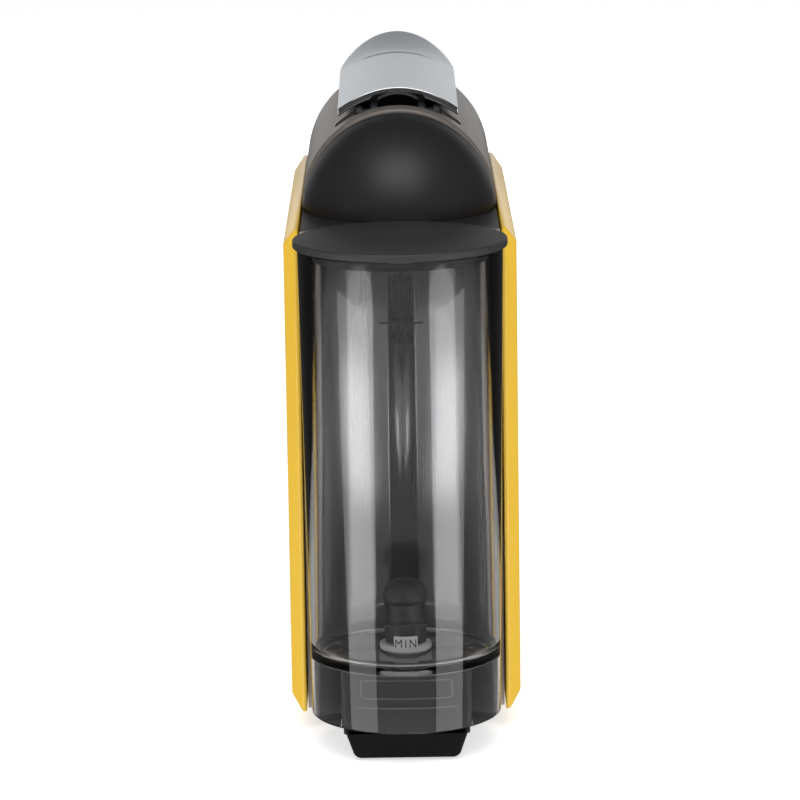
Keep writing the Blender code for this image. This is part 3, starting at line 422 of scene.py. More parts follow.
def paint_finish():
    finish = Finish("silver paint")
    flake = finish.grain(5200.0, 1.0)
    cloud = finish.grain(22.0)
    return finish.dress(
        Base_Color=finish.blend_colours(flake, (0.400, 0.435, 0.470), (0.560, 0.595, 0.630)),
        Metallic=0.30 + flake * 0.15,
        Roughness=0.34 + cloud * 0.08,
        Coat_Weight=0.35,
        Coat_Roughness=0.22,
        Normal=finish.relief(finish.grain(1100.0, 2.0), 0.000008),
    )


def chrome_finish():
    finish = Finish("polished chrome")
    haze = finish.grain(60.0, 4.0)
    return finish.dress(
        Base_Color=finish.blend_colours(haze, (0.78, 0.79, 0.81), (0.86, 0.86, 0.87)),
        Metallic=1.0,
        Roughness=0.05 + haze * 0.06,
    )


low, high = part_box("lever_handle")
HANDLE_CREASE = -0.1130
HANDLE_CROWN = 0.0100
HANDLE_RISE = 0.0036
HANDLE_LIP = 0.0048
HANDLE_WALL = 0.0024
CREASE_WIDTH = 0.0014
CREASE_BOW = 0.0045
CREASE_DEPTH = 0.00085
CREASE_HALF = 0.0225
half = high.x
rear, front = high.y, low.y
rise_to_front = HANDLE_RISE * (rear - front) / (rear - HANDLE_CREASE)
crown_top = high.z - rise_to_front - HANDLE_LIP


def handle_top(x, y):
    """The height of the crowned top, with its turned-up front."""
    rise = HANDLE_RISE * (rear - y) / (rear - HANDLE_CREASE)
    lip = HANDLE_LIP * max(0.0, (HANDLE_CREASE - y) / (HANDLE_CREASE - front)) ** 1.4
    return crown_top + rise + lip - HANDLE_CROWN * (x / half) ** 2


silver = paint_finish()
shape = bmesh.new()
bmesh.ops.create_grid(shape, x_segments=72, y_segments=110, size=1.0)
for vert in shape.verts:
    across = math.sin(vert.co.x * math.pi / 2)
    along = (vert.co.y + 1) / 2
    nose = HANDLE_CREASE + (front - HANDLE_CREASE) * math.sqrt(max(0.0, 1 - across**2))
    x, y = half * across, rear + (nose - rear) * along
    line = HANDLE_CREASE + CREASE_BOW - CREASE_BOW * across**2
    fade = max(0.0, 1 - (x / CREASE_HALF) ** 2)
    dip = CREASE_DEPTH * fade * math.exp(-(((y - line) / CREASE_WIDTH) ** 2))
    vert.co = (x, y, handle_top(x, y) - dip)
bmesh.ops.recalc_face_normals(shape, faces=shape.faces)
if sum(face.normal.z for face in shape.faces) < 0:
    bmesh.ops.reverse_faces(shape, faces=shape.faces)
handle = finished("lever_handle_shell", shape, "lever", silver, ["lever_handle"], 60)
wall = handle.modifiers.new("wall", "SOLIDIFY")
wall.thickness = HANDLE_WALL
wall.offset = -1.0
eased(handle, 0.0007, 3, 50)

chrome = chrome_finish()
low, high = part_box("lever_trim")
THIN_HALF = 0.0118
STEP_WIDTH = 0.0024
THICK, THIN = 0.0037, 0.0019
shape = bmesh.new()
bmesh.ops.create_grid(shape, x_segments=112, y_segments=1, size=1.0)
for vert in shape.verts:
    x = half * vert.co.x
    share = min(1.0, max(0.0, (abs(x) - THIN_HALF) / STEP_WIDTH + 0.5))
    thickness = THIN + (THICK - THIN) * share * share * (3 - 2 * share)
    top = handle_top(x, rear)
    vert.co = (x, low.y, top - (thickness if vert.co.y < 0 else 0.0))
extruded(shape, list(shape.faces), (0, high.y - low.y, 0))
tidy(shape)
round_over(shape, sharp_edges(shape, 50), 0.0014, 6)
finished("lever_chrome_strip", shape, "lever", chrome, ["lever_trim"], 50)

# ------------------------------------------------------------------------------------------------------
# Lever works: two black crank arms tied together under the handle, flat steel links from them to the
# piston, and the steel pins that they turn on. Each part is pressed or moulded, so its edges are only
# lightly broken.


def steel_finish():
    finish = Finish("brushed steel")
    streak = finish.grain(900.0, 3.0, (0.08, 1.0, 1.0))
    cloud = finish.grain(30.0)
    return finish.dress(
        Base_Color=finish.blend_colours(streak, (0.46, 0.46, 0.47), (0.60, 0.60, 0.61)),
        Metallic=1.0,
        Roughness=0.24 + streak * 0.14 + cloud * 0.05,
        Normal=finish.relief(streak, 0.000012),
    )


def cad_copy(node):
    """A copy of a CAD piece's mesh, with its corners merged."""
    shape = bmesh.new()
    shape.from_mesh(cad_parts[node].data)
    bmesh.ops.remove_doubles(shape, verts=shape.verts, dist=0.000005)
    return shape


def from_cad(node, name, body, finish, width, segments=2, angle=35):
    """A CAD piece with its flat faces joined up, its edges eased and a real finish."""
    shape = cad_copy(node)
    bmesh.ops.dissolve_limit(
        shape,
        angle_limit=math.radians(0.4),
        use_dissolve_boundaries=False,
        verts=shape.verts,
        edges=shape.edges,
    )
    piece = finished(name, shape, body, finish, [node], angle)
    return eased(piece, width, segments, angle)


plastic_black = satin_black("frame black", (0.014, 0.013, 0.014), 0.42)
steel = steel_finish()
from_cad("lever_yoke", "lever_crank_arms", "lever", plastic_black, 0.0003)
from_cad("crank_pin", "crank_cross_pin", "lever", steel, 0.0003)
from_cad("piston_pin", "piston_cross_pin", "piston", steel, 0.0003)
for side in ("left", "right"):
    from_cad(f"toggle_link_{side}", f"steel_link_{side}", "links", steel, 0.0002)

# ------------------------------------------------------------------------------------------------------
# Brew unit: a folded and blackened steel frame that carries the capsule holder and its perforated front
# plate, and the piston that the links push, with its silicone seal and three needles. A black chute
# below drops used capsules.


def silicone_finish():
    finish = Finish("milky silicone")
    cloud = finish.grain(90.0)
    return finish.dress(
        Base_Color=finish.blend_colours(cloud, (0.60, 0.60, 0.57), (0.72, 0.71, 0.68)),
        Roughness=0.42 + cloud * 0.12,
        Subsurface_Weight=0.15,
        Subsurface_Radius=(0.003, 0.003, 0.003),
    )


def blackened_finish():
    """Steel with a dull black oxide, worn a little along its grain."""
    finish = Finish("blackened steel")
    wear = finish.grain(240.0, 5.0, (1.0, 0.2, 1.0))
    return finish.dress(
        Base_Color=finish.blend_colours(wear, (0.012, 0.012, 0.013), (0.034, 0.033, 0.033)),
        Metallic=0.4,
        Roughness=0.48 + wear * 0.15,
        Normal=finish.relief(wear, 0.00002),
    )


silicone = silicone_finish()
blackened = blackened_finish()
from_cad("brew_frame", "brew_side_frame", "housing", blackened, 0.0003)
from_cad("lever_pin", "lever_cross_pin", "housing", blackened, 0.0003)
from_cad("capsule_holder", "capsule_cup_ring", "housing", plastic_black, 0.0004)
from_cad("extraction_plate", "coffee_outlet_plate", "housing", steel, 0.0003)
from_cad("brew_piston", "brew_piston_body", "piston", plastic_black, 0.0004)
from_cad("piston_seal", "piston_lip_seal", "piston", silicone, 0.0002)
from_cad("piercing_plate", "needle_plate", "piston", steel, 0.0001)
from_cad("capsule_chute", "capsule_drop_chute", "housing", plastic_black, 0.0003)

# ------------------------------------------------------------------------------------------------------
# Tank lid: a flat disc of matt black plastic with a thin rounded edge, and a shallow collar that drops
# into the tank and keeps the lid from sliding. It only rests there, so it lifts straight off.


def lathe(profile, centre, steps=112):
    """A closed turned shape from (radius, height) points, listed from the top of the axis to its bottom."""
    shape = bmesh.new()
    line = [shape.verts.new((radius, 0.0, height)) for radius, height in profile]
    edges = [shape.edges.new(pair) for pair in zip(line, line[1:])]
    if profile[0][0] > 0.0:
        edges.append(shape.edges.new((line[-1], line[0])))
    bmesh.ops.spin(
        shape,
        geom=[*line, *edges],
        cent=(0, 0, 0),
        axis=(0, 0, 1),
        angle=2 * math.pi,
        steps=steps,
        use_merge=True,
    )
    tidy(shape)
    bmesh.ops.translate(shape, vec=centre, verts=shape.verts)
    return shape


lid_black = satin_black("lid black", (0.026, 0.025, 0.026), 0.50, 2200.0, 0.000016)
low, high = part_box("tank_lid")
lid_r = high.x
tank_y = (low.y + high.y) / 2
lid_top = high.z
LID_THICK = 0.0036
rim_low = lid_top - LID_THICK
COLLAR_R = 0.0421
COLLAR_WALL = 0.0020
COLLAR_DRAFT = 0.0004
plate_low = rim_low + 0.0010
profile = [(0.0, lid_top), (lid_r, lid_top), (lid_r, rim_low)]
profile += [(COLLAR_R, rim_low), (COLLAR_R - COLLAR_DRAFT, low.z)]
profile += [(COLLAR_R - COLLAR_WALL - COLLAR_DRAFT, low.z)]
profile += [(COLLAR_R - COLLAR_WALL, plate_low), (0.0, plate_low)]
shape = lathe(profile, (0, tank_y, 0))
round_over(shape, sharp_edges(shape, 50), 0.0009, 5)
finished("lid_disc", shape, "lid", lid_black, ["tank_lid"])

# ------------------------------------------------------------------------------------------------------
# Water tank: a tapering cup moulded in clear plastic, with a thick floor that is rounded inside, a
# skirt below it that stands round the boss, two small hooks at the front, and printed lines for the
# highest and lowest fill.


def clear_finish():
    """Clear plastic with a faint smoky tint and a little haze from wiping."""
    finish = Finish("clear tank plastic")
    haze = finish.grain(26.0, 4.0, (1.0, 1.0, 0.3))
    return finish.dress(
        Base_Color=finish.blend_colours(haze, (0.93, 0.93, 0.94), (0.97, 0.97, 0.97)),
        Roughness=0.015 + haze * 0.02,
        IOR=1.49,
        Transmission_Weight=1.0,
    )


clear = clear_finish()
low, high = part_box("water_tank")
tank_r = high.x
TANK_TAPER = 0.0030
TANK_WALL = 0.0024
TANK_FLOOR = 0.0454
FLOOR_THICK = 0.0030
SPIGOT_HOLE = 0.0079
low_r = tank_r - TANK_TAPER


def tank_radius(z):
    return low_r + TANK_TAPER * (z - low.z) / (high.z - low.z)


low_in = low_r - TANK_WALL
FLOOR_ROUND = 0.0040
profile = [(tank_r, high.z), (low_r, low.z), (low_in, low.z), (low_in + 0.0003, TANK_FLOOR - FLOOR_THICK)]
profile += [(SPIGOT_HOLE, TANK_FLOOR - FLOOR_THICK), (SPIGOT_HOLE, TANK_FLOOR)]
for step in range(9):
    angle = math.radians(-90 + 90 * step / 8)
    centre = (low_in + 0.0004 - FLOOR_ROUND, TANK_FLOOR + FLOOR_ROUND)
    profile.append((centre[0] + FLOOR_ROUND * math.cos(angle), centre[1] + FLOOR_ROUND * math.sin(angle)))
profile.append((tank_r - TANK_WALL, high.z))
shape = lathe(profile, (0, tank_y, 0), 160)
round_over(shape, sharp_edges(shape, 50), 0.0006, 3)
finished("clear_tank", shape, "tank", clear, ["water_tank"], 40)

HOOK_Z = 0.1984
HOOK_HALF = 0.0015
HOOK_X = 0.0037
near = tank_y - tank_radius(HOOK_Z)
inside, tip = near + 0.0004, near - 0.0040
outline = [(inside, HOOK_Z - 0.0045), (tip, HOOK_Z - 0.0030), (tip, HOOK_Z + 0.0045)]
outline += [(near - 0.0024, HOOK_Z + 0.0045), (near - 0.0022, HOOK_Z), (inside, HOOK_Z + 0.0010)]
for side, word in ((-1, "right"), (1, "left")):
    shape = bmesh.new()
    face = shape.faces.new([shape.verts.new((side * HOOK_X - HOOK_HALF, y, z)) for y, z in outline])
    extruded(shape, [face], (2 * HOOK_HALF, 0, 0))
    bmesh.ops.recalc_face_normals(shape, faces=shape.faces)
    round_over(shape, sharp_edges(shape, 50), 0.0003, 2)
    finished(f"tank_hook_{word}", shape, "tank", clear)


def ink_finish():
    finish = Finish("printed ink")
    wear = finish.grain(1500.0, 3.0)
    return finish.dress(
        Base_Color=finish.blend_colours(wear, (0.012, 0.012, 0.014), (0.030, 0.030, 0.034)),
        Roughness=0.45 + wear * 0.15,
    )


ink = ink_finish()
INK_THICK = 0.00012
INK_GAP = 0.00008
EM_TO_CAPITAL = 1.37


def printed(shape, name, z):
    """Print drawn flat in x and y, stood up at height z and wrapped round the tank just off its wall."""
    upright = Matrix.Rotation(math.pi / 2, 3, "X")
    bmesh.ops.rotate(shape, cent=(0, 0, 0), matrix=upright, verts=shape.verts)
    bmesh.ops.translate(shape, vec=(0, 0, z), verts=shape.verts)
    extruded(shape, list(shape.faces), (0, INK_THICK, 0))
    for vert in shape.verts:
        radius = tank_radius(vert.co.z) + INK_GAP + vert.co.y
        angle = -vert.co.x / radius
        vert.co = (-radius * math.sin(angle), tank_y + radius * math.cos(angle), vert.co.z)
    tidy(shape)
    finished(name, shape, "tank", ink)


def printed_line(name, across, z, thick=0.0008):
    shape = bmesh.new()
    bmesh.ops.create_grid(shape, x_segments=24, y_segments=1, size=0.5)
    bmesh.ops.scale(shape, vec=(across, thick, 1.0), verts=shape.verts)
    printed(shape, name, z)


def printed_word(name, word, z, height, across):
    """A word of capitals of that height, as wide as it is given, that reads from behind the machine."""
    text = bpy.data.curves.new(name, "FONT")
    text.body = word
    text.align_x = "CENTER"
    text.size = height * EM_TO_CAPITAL
    text.space_character = 1.3
    text.resolution_u = 3
    flat = bpy.data.objects.new(name, text)
    bpy.context.scene.collection.objects.link(flat)
    bpy.context.view_layer.update()
    view = bpy.context.evaluated_depsgraph_get()
    mesh = bpy.data.meshes.new_from_object(flat.evaluated_get(view))
    bpy.data.objects.remove(flat)
    shape = bmesh.new()
    shape.from_mesh(mesh)
    bmesh.ops.remove_doubles(shape, verts=shape.verts, dist=0.000002)
    wide = max(vert.co.x for vert in shape.verts) - min(vert.co.x for vert in shape.verts)
    bmesh.ops.scale(shape, vec=(-across / wide, 1.0, 1.0), verts=shape.verts)
    printed(shape, name, z)


printed_line("highest_fill_line", 0.0190, 0.2000)
printed_word("highest_fill_word", "MAX", 0.1908, 0.0047, 0.0100)
printed_line("lowest_fill_line", 0.0190, 0.0654)
printed_word("lowest_fill_word", "MIN", 0.0555, 0.0040, 0.0092)
printed_line("middle_fill_dash", 0.0060, 0.1040, 0.0003)

# ------------------------------------------------------------------------------------------------------
# Tank valve: a white spigot through the tank's floor with a sprung white plunger in it, under a black
# mushroom-shaped strainer with a small curved white plate at its foot. A white socket in the boss takes
# the spigot, and its pin lifts the plunger.


def white_finish():
    finish = Finish("white works plastic")
    cloud = finish.grain(40.0)
    return finish.dress(
        Base_Color=finish.blend_colours(cloud, (0.66, 0.66, 0.63), (0.76, 0.76, 0.74)),
        Roughness=0.38 + cloud * 0.10,
        Normal=finish.relief(finish.grain(1800.0, 2.0), 0.000008),
    )


white = white_finish()
from_cad("tank_valve_body", "valve_spigot", "tank", white, 0.0002)
from_cad("tank_filter", "mushroom_strainer", "tank", plastic_black, 0.0003)
WINDOW_HALF = math.radians(26)
WINDOW_IN, WINDOW_OUT = 0.0114, 0.0122
WINDOW_LOW, WINDOW_HIGH = 0.0457, 0.0531
corners = [(WINDOW_IN, WINDOW_LOW), (WINDOW_OUT, WINDOW_LOW)]
corners += [(WINDOW_OUT, WINDOW_HIGH), (WINDOW_IN, WINDOW_HIGH)]
shape = bmesh.new()
end = shape.faces.new([shape.verts.new((0.0, radius, z)) for radius, z in corners])
start = Matrix.Rotation(-WINDOW_HALF, 3, "Z")
bmesh.ops.rotate(shape, cent=(0, 0, 0), matrix=start, verts=shape.verts)
bmesh.ops.spin(
    shape,
    geom=[end, *end.edges, *end.verts],
    cent=(0, 0, 0),
    axis=(0, 0, 1),
    angle=2 * WINDOW_HALF,
    steps=16,
)
tidy(shape)
bmesh.ops.translate(shape, vec=(0, tank_y, 0), verts=shape.verts)
round_over(shape, sharp_edges(shape, 50), 0.0003, 3)
finished("strainer_white_window", shape, "tank", white)
from_cad("tank_valve_plunger", "valve_stem", "valve_plunger", white, 0.0001)
coil = cad_copy("tank_valve_spring")
spring_piece = finished("valve_spring", coil, "tank", steel, ["tank_valve_spring"], 50)
low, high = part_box("tank_valve_spring")
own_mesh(spring_piece)
from_cad("tank_socket", "boss_socket", "housing", white, 0.0002)

# ------------------------------------------------------------------------------------------------------
# Rear wall: a curved wall in dark grey plastic with a polished skin that follows the tank, with a
# square groove down its middle for the tank's hooks and a narrow wing at each side behind the panels.

low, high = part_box("rear_wall")
WALL_R = lid_r + 0.0006
WALL_SPREAD = math.radians(60)
GROOVE_HALF = 0.0062
GROOVE_DEEP = 0.0040
WALL_THICK = 0.0025


def wall_finish():
    """Dark grey metallic plastic, polished, with faint upright drawing lines, and duller wings painted
    paler as painted light.
    """
    finish = Finish("rear wall gloss grey")
    across = finish.node("ShaderNodeSeparateXYZ", values={0: finish.place}).outputs[0]
    away = finish.node("ShaderNodeMath", {"operation": "ABSOLUTE"}, {0: across}).outputs[0]
    # The wing mask carries painted light: the wings get a paler colour that stands in for the light falling
    # on them behind the tank.
    limits = {"Value": away, "From Min": 0.0400, "From Max": 0.0425}
    painted_light_wing = Amount(finish, finish.node("ShaderNodeMapRange", values=limits).outputs[0])
    drawn = finish.grain(500.0, 3.0, (1.0, 1.0, 0.01))
    cloud = finish.grain(10.0)
    polished = finish.blend_colours(cloud, (0.340, 0.327, 0.336), (0.378, 0.366, 0.370))
    return finish.dress(
        # The pale warm grey of the wings is painted light, not their own colour.
        Base_Color=finish.blend_colours(painted_light_wing, polished, (0.600, 0.545, 0.510)),
        Metallic=0.80 - painted_light_wing * 0.60,
        Roughness=0.25 + drawn * 0.03 + cloud * 0.03 + painted_light_wing * 0.15,
        Normal=finish.relief(drawn, 0.000001),
    )


wall_grey = wall_finish()
stop = math.asin(GROOVE_HALF / WALL_R)
line = []
for step in range(41):
    angle = WALL_SPREAD + (stop - WALL_SPREAD) * step / 40
    line.append((WALL_R * math.sin(angle), tank_y - WALL_R * math.cos(angle)))
line.insert(0, (high.x, line[0][1]))
line.append((GROOVE_HALF, tank_y - WALL_R - GROOVE_DEEP))
line += [(-x, y) for x, y in reversed(line)]
WALL_LOW = 0.0162
TAB_WIDE = 0.0045
shape = bmesh.new()
chain = [shape.verts.new((x, y, WALL_LOW)) for x, y in line]
edges = [shape.edges.new(pair) for pair in zip(chain, chain[1:])]
grown = bmesh.ops.extrude_edge_only(shape, edges=edges)
moved = [part for part in grown["geom"] if isinstance(part, bmesh.types.BMVert)]
bmesh.ops.translate(shape, vec=(0, 0, high.z - WALL_LOW), verts=moved)
for vert in shape.verts:
    if abs(vert.co.x) > high.x - TAB_WIDE and vert.co.z < (WALL_LOW + high.z) / 2:
        vert.co.z = low.z
shape.normal_update()
middle_face = min(shape.faces, key=lambda face: face.calc_center_median().y)
bmesh.ops.recalc_face_normals(shape, faces=shape.faces)
if middle_face.normal.y < 0:
    bmesh.ops.reverse_faces(shape, faces=shape.faces)
rear_wall = finished("curved_rear_wall", shape, "housing", wall_grey, ["rear_wall"], 30)
wall = rear_wall.modifiers.new("wall", "SOLIDIFY")
wall.thickness = WALL_THICK
wall.offset = -1.0

# ------------------------------------------------------------------------------------------------------
# Deck and frame: a shelf that carries the tunnel, and an upright frame plate behind each panel, all in
# black plastic. They clip together and take the screws from below.

from_cad("top_deck", "tunnel_deck", "housing", plastic_black, 0.0004)
for side in ("left", "right"):
    name = f"upright_frame_{side}"
    from_cad(f"inner_frame_{side}", name, "housing", plastic_black, 0.0003)

# ------------------------------------------------------------------------------------------------------
# Base: one black moulding with the floor plate, the boss that the tank stands on and the tapering rear
# foot. The boss has a thin raised frame with round corners on its back, and a fine raised line runs
# below the frame, both in a paler grey that paints the highlight their edges catch.

boss_black = satin_black("boss black", (0.026, 0.025, 0.027), 0.30, 2400.0, 0.000008)
foot_black = satin_black("foot black", (0.006, 0.0055, 0.0055), 0.36, 2400.0, 0.000008, 0.22)
low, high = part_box("base")
BOSS_HALF = high.y - tank_y
BOSS_LOW = 0.0120
FOOT_LOW = 0.0012
FOOT_TOP = 0.0155
FOOT_FRONT = 0.0510
BASE_WALL = 0.0030
BOSS_ROOM_HALF = 0.0250
SOCKET_HOLE_R = 0.0108
boss_top = high.z
back = tank_y + BOSS_HALF
shape = block((-BOSS_HALF, tank_y - BOSS_HALF, BOSS_LOW), (BOSS_HALF, back, boss_top))
round_over(shape, edges_along(shape, 2), 0.0024, 6)
level_with_top = boss_top - 0.0001
crown = [edge for edge in sharp_edges(shape, 50) if min(vert.co.z for vert in edge.verts) > level_with_top]
round_over(shape, crown, 0.0010)
boss = finished("tank_boss", shape, "housing", boss_black, ["base"])
shape = bmesh.new()
bmesh.ops.create_cone(
    shape,
    cap_ends=True,
    segments=64,
    radius1=SOCKET_HOLE_R,
    radius2=SOCKET_HOLE_R,
    depth=0.02,
    matrix=Matrix.Translation((0, tank_y, boss_top)),
)
room_low = (-BOSS_ROOM_HALF, tank_y - BOSS_ROOM_HALF, BOSS_LOW - 0.01)
room_high = (BOSS_ROOM_HALF, back - BASE_WALL, boss_top - BASE_WALL)
room = cutting_block(room_low, room_high, 0.002, 2)
eased(carved(boss, cutter_from(shape), room), 0.00025, 3)

# A paler grey than the boss: a painted highlight for the light that the raised edges catch.
highlight_painted_grey = satin_black("edge grey with painted highlight", (0.110, 0.107, 0.106), 0.34, 2400.0, 0.000008)


def raised_plate(name, low, high, corner, edge, inner=0.0):
    """A thin raised bar on the boss's back, or a raised frame where an inner border is given."""
    shape = block(low, high)
    round_over(shape, edges_along(shape, 1), corner, 6)
    outside = [face for face in shape.faces if face.normal.y > 0.9]
    if inner > 0.0:
        bmesh.ops.inset_region(shape, faces=outside, thickness=inner, depth=0.0, use_even_offset=True)
        moved = {vert for face in outside for vert in face.verts}
        bmesh.ops.translate(shape, vec=(0, low[1] - high[1] + 0.0001, 0), verts=list(moved))
    round_over(shape, sharp_edges(shape, 50), edge, 3)
    finished(name, shape, "housing", highlight_painted_grey)


sunk, proud = back - 0.0002, back + 0.0005
PROUD_ROUND = 0.00022
low_corner, high_corner = (-0.0200, sunk, 0.0298), (0.0200, proud, 0.0386)
raised_plate("boss_raised_line", low_corner, high_corner, 0.0016, PROUD_ROUND, 0.0008)
low_corner, high_corner = (-0.0215, sunk, 0.0255), (0.0215, proud, 0.0262)
raised_plate("boss_step_line", low_corner, high_corner, 0.0003, PROUD_ROUND)

FOOT_TAPER = 0.0050
shape = block((-BOSS_HALF, FOOT_FRONT, FOOT_LOW), (BOSS_HALF, back, FOOT_TOP))
for vert in shape.verts:
    if vert.co.z < FOOT_TOP - 0.001:
        vert.co.x -= math.copysign(FOOT_TAPER, vert.co.x)
lengthways = [edge for edge in edges_along(shape, 1) if edge.verts[0].co.z < FOOT_TOP - 0.001]
round_over(shape, lengthways, 0.0026, 6)
round_over(shape, sharp_edges(shape, 60), 0.0007, 3)
foot = finished("rear_foot", shape, "housing", foot_black)
hollow_low = (-0.0200, FOOT_FRONT + 0.0020, -0.01)
hollow_high = (0.0200, back - BASE_WALL, FOOT_TOP - 0.0025)
carved(foot, cutting_block(hollow_low, hollow_high, 0.002, 2))

FLOOR_LOW, FLOOR_HIGH = 0.0100, 0.0130
shape = block((-0.0442, -0.0880, FLOOR_LOW), (0.0442, 0.0600, FLOOR_HIGH))
round_over(shape, list(shape.edges), 0.0008, 3)
floor_plate = finished("floor_plate", shape, "housing", foot_black)
hose_gap = cutting_block((0.0070, 0.0520, 0.0), (0.0170, 0.0620, 0.03), 0.004, 2)
gland_gap = cutting_block((-0.0397, 0.0443, 0.0), (-0.0293, 0.0547, 0.03), 0.0045, 2)
carved(floor_plate, hose_gap, gland_gap)

shape = block((-0.0280, low.y + 0.0003, 0.0016), (0.0280, -0.0840, 0.0040))
shape.normal_update()
tail = [face for face in shape.faces if face.normal.y > 0.9]
bend = bmesh.ops.extrude_face_region(shape, geom=tail)
moved = [part for part in bend["geom"] if isinstance(part, bmesh.types.BMVert)]
bmesh.ops.translate(shape, vec=(0, 0.0030, 0.0080), verts=moved)
bmesh.ops.recalc_face_normals(shape, faces=shape.faces)
round_over(shape, sharp_edges(shape, 30), 0.0006, 3)
finished("tray_tongue", shape, "housing", foot_black)


def rubber_finish():
    finish = Finish("foot rubber")
    dust = finish.grain(700.0, 5.0)
    return finish.dress(
        Base_Color=finish.blend_colours(dust, (0.016, 0.016, 0.016), (0.040, 0.039, 0.038)),
        Roughness=0.75 + dust * 0.15,
        Normal=finish.relief(dust, 0.00003),
    )


rubber = rubber_finish()
from_cad("foot_cover", "foot_cover_plate", "housing", foot_black, 0.0004)
from_cad("rear_foot_pad", "rear_rubber_pad", "housing", rubber, 0.0002)
from_cad("cord_gland", "cord_bush", "housing", rubber, 0.0003)
for side in ("left", "right"):
    for place in ("front", "middle"):
        name = f"{place}_rubber_foot_{side}"
        from_cad(f"{place}_foot_{side}", name, "housing", rubber, 0.0006, 3)
    from_cad(f"case_screw_{side}", f"pan_screw_{side}", "housing", steel, 0.0005, 3)

# ------------------------------------------------------------------------------------------------------
# Head: a gloss black cover with a sloping underside and a flat front, with two round silver push
# buttons and the small circuit board that they press behind it.

gloss_black = satin_black("gloss black", (0.010, 0.010, 0.011), 0.08, 700.0, 0.000004)


def board_finish():
    """Green board with copper tracks showing through the lacquer as paler lines."""
    finish = Finish("circuit board")
    tracks = finish.node(
        "ShaderNodeTexWave",
        {"wave_type": "BANDS", "bands_direction": "Z", "wave_profile": "SIN"},
        {"Vector": finish.place, "Scale": 160.0, "Distortion": 3.0, "Detail": 1.0},
    )
    share = Amount(finish, tracks.outputs["Fac"])
    return finish.dress(
        Base_Color=finish.blend_colours(share, (0.010, 0.100, 0.035), (0.030, 0.190, 0.060)),
        Roughness=0.35 + share * 0.10,
    )


board_green = board_finish()
from_cad("head_cover", "head_front_cover", "housing", gloss_black, 0.0007, 3)
for word, body in (("espresso", "espresso_key"), ("lungo", "lungo_key")):
    from_cad(f"{word}_button", f"{word}_push_button", body, silver, 0.0004, 3)
from_cad("control_board", "button_board", "housing", board_green, 0.0002)

# ------------------------------------------------------------------------------------------------------
# Coffee outlet: a round black spout under the head, above the drip tray. A short silicone pipe brings
# the coffee to it from the brew unit.

from_cad("coffee_spout", "round_spout", "housing", plastic_black, 0.0005, 3)
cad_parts["coffee_pipe"].material_slots[0].material = silicone

# ------------------------------------------------------------------------------------------------------
# Capsule bin: a black box that catches the used capsules and slides out of the front. Its gloss front
# plate has a hollow for a finger.

from_cad("capsule_bin", "used_capsule_bin", "bin", gloss_black, 0.0005, 3)

# ------------------------------------------------------------------------------------------------------
# Drip tray: a gloss black tray that slides onto the base's tongue, with a pressed and polished steel
# grid that lifts out.


def grid_finish():
    finish = Finish("polished grid steel")
    brush = finish.grain(700.0, 3.0, (0.05, 1.0, 1.0))
    return finish.dress(
        Base_Color=finish.blend_colours(brush, (0.62, 0.62, 0.64), (0.74, 0.74, 0.75)),
        Metallic=1.0,
        Roughness=0.14 + brush * 0.14,
        Normal=finish.relief(brush, 0.00001),
    )


from_cad("drip_tray", "round_drip_tray", "tray", gloss_black, 0.0006, 3)
from_cad("drip_grid", "slotted_drip_grid", "grid", grid_finish(), 0.0004, 3)

# ------------------------------------------------------------------------------------------------------
# Hidden works: the vibrating pump in its rubber ring and bracket, the cast aluminium heater, the flow
# meter and the mains board. They stand inside the case and are only seen when it is open.


def cast_finish():
    finish = Finish("cast aluminium")
    rough = finish.grain(420.0, 6.0)
    return finish.dress(
        Base_Color=finish.blend_colours(rough, (0.48, 0.48, 0.49), (0.62, 0.62, 0.63)),
        Metallic=1.0,
        Roughness=0.42 + rough * 0.20,
        Normal=finish.relief(rough, 0.00006),
    )


from_cad("pump_body", "vibrating_pump", "housing", steel, 0.0004)
from_cad("pump_mount", "pump_rubber_ring", "housing", rubber, 0.0005)
from_cad("pump_bracket", "pump_holding_plate", "housing", plastic_black, 0.0003)
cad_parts["thermoblock"].material_slots[0].material = cast_finish()
from_cad("flow_meter", "water_flow_meter", "housing", white, 0.0006)
from_cad("power_board", "mains_board", "housing", board_green, 0.0002)

# ------------------------------------------------------------------------------------------------------
# Hoses: milky silicone tube pushed onto its spigots, from the tank's socket to the meter, the pump, the
# heater and, with enough slack to follow it, the piston.

for node in ("suction_hose", "feed_hose", "pressure_hose"):
    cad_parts[node].material_slots[0].material = silicone
tube = cad_copy("brew_hose")
slack_hose = finished("slack_brew_hose", tube, None, silicone, ["brew_hose"], 50)
low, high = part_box("brew_hose")
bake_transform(slack_hose)

# ------------------------------------------------------------------------------------------------------
# Studio: a pale floor, a broad soft light overhead, a tall soft strip at each side of the camera and a
# faint fill, with the camera behind the machine and a little above it.


def floor_finish():
    finish = Finish("pale floor")
    mottle = finish.grain(2.0)
    return finish.dress(
        Base_Color=finish.blend_colours(mottle, (0.93, 0.93, 0.93), (0.95, 0.95, 0.95)),
        Roughness=0.90,
        Specular_IOR_Level=0.0,
        Emission_Color=(1.0, 1.0, 1.0, 1.0),
        Emission_Strength=0.62,
    )


shape = bmesh.new()
bmesh.ops.create_grid(shape, x_segments=8, y_segments=8, size=12.0)
mesh = bpy.data.meshes.new("pale_floor")
shape.to_mesh(mesh)
shape.free()
floor = bpy.data.objects.new("pale_floor", mesh)
bpy.context.scene.collection.objects.link(floor)
floor.data.materials.append(floor_finish())
floor.visible_glossy = False
floor.visible_transmission = False
floor.visible_shadow = False


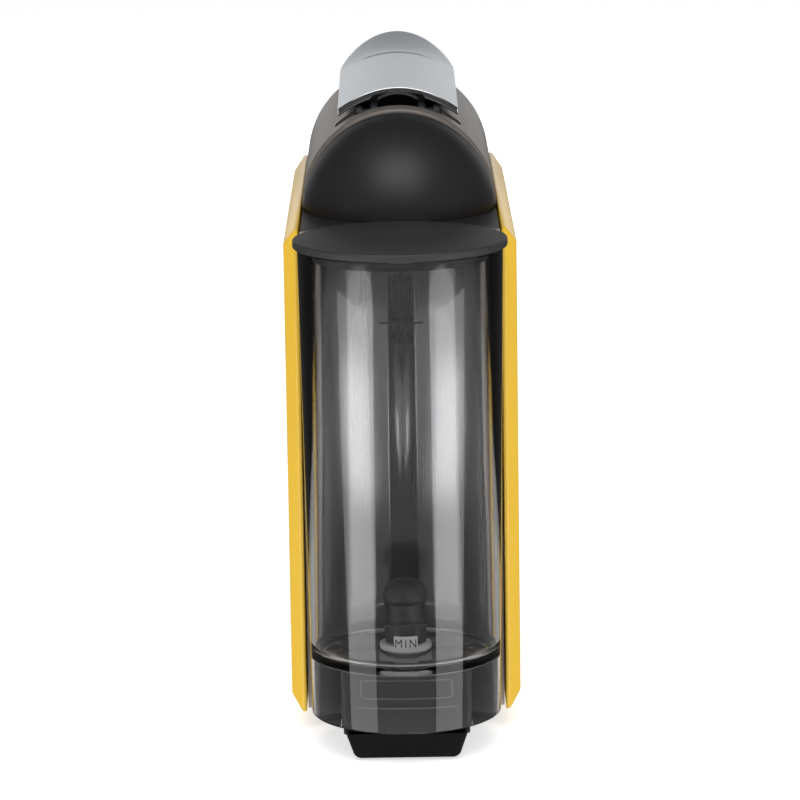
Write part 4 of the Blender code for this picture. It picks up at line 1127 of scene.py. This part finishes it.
def softbox(name, place, aim, across, tall, power):
    """A flat lamp of that size in metres and power in watts, turned towards a point."""
    light = bpy.data.lights.new(name, "AREA")
    light.shape = "RECTANGLE"
    light.size = across
    light.size_y = tall
    light.energy = power
    lamp = bpy.data.objects.new(name, light)
    bpy.context.scene.collection.objects.link(lamp)
    lamp.location = place
    lamp.rotation_euler = (Vector(aim) - Vector(place)).to_track_quat("-Z", "Y").to_euler()


softbox("overhead softbox", (0.0, 0.98, 1.42), (0.0, 0.03, 0.25), 1.3, 1.0, 14.0)
for side, word in ((1, "left"), (-1, "right")):
    softbox(f"{word} strip", (side * 1.15, 0.90, -0.45), (0.0, 0.10, -0.45), 0.92, 1.3, 8.0)
softbox("front card", (0.0, -2.0, 0.55), (0.0, 0.05, 0.15), 2.6, 0.9, 7.0)

world = bpy.data.worlds.new("studio")
bpy.context.scene.world = world
world.use_nodes = True
backdrop = world.node_tree.nodes["Background"]
backdrop.inputs["Color"].default_value = (1.0, 1.0, 1.0, 1.0)
rays = world.node_tree.nodes.new("ShaderNodeLightPath")
level = world.node_tree.nodes.new("ShaderNodeMix")
level.inputs[2].default_value = 0.06
level.inputs[3].default_value = 0.38
world.node_tree.links.new(rays.outputs["Is Diffuse Ray"], level.inputs[0])
for kind, strength in (("Is Transmission Ray", 0.40), ("Is Camera Ray", 1.0)):
    seen = world.node_tree.nodes.new("ShaderNodeMix")
    seen.inputs[3].default_value = strength
    world.node_tree.links.new(rays.outputs[kind], seen.inputs[0])
    world.node_tree.links.new(level.outputs[0], seen.inputs[2])
    level = seen
world.node_tree.links.new(level.outputs[0], backdrop.inputs["Strength"])
bpy.context.scene.view_settings.view_transform = "Standard"

camera = bpy.data.objects.new("camera", bpy.data.cameras.new("camera"))
bpy.context.scene.collection.objects.link(camera)
camera.data.lens = 182.25
camera.data.sensor_width = 36.0
camera.location = (0.00095, 1.8736, 0.5112)
aim = Matrix.Rotation(math.pi, 4, "Z") @ Matrix.Rotation(math.radians(78.6), 4, "X")
camera.rotation_euler = (aim @ Matrix.Rotation(math.radians(-0.85), 4, "Z")).to_euler()
bpy.context.scene.camera = camera

bpy.context.view_layer.update()
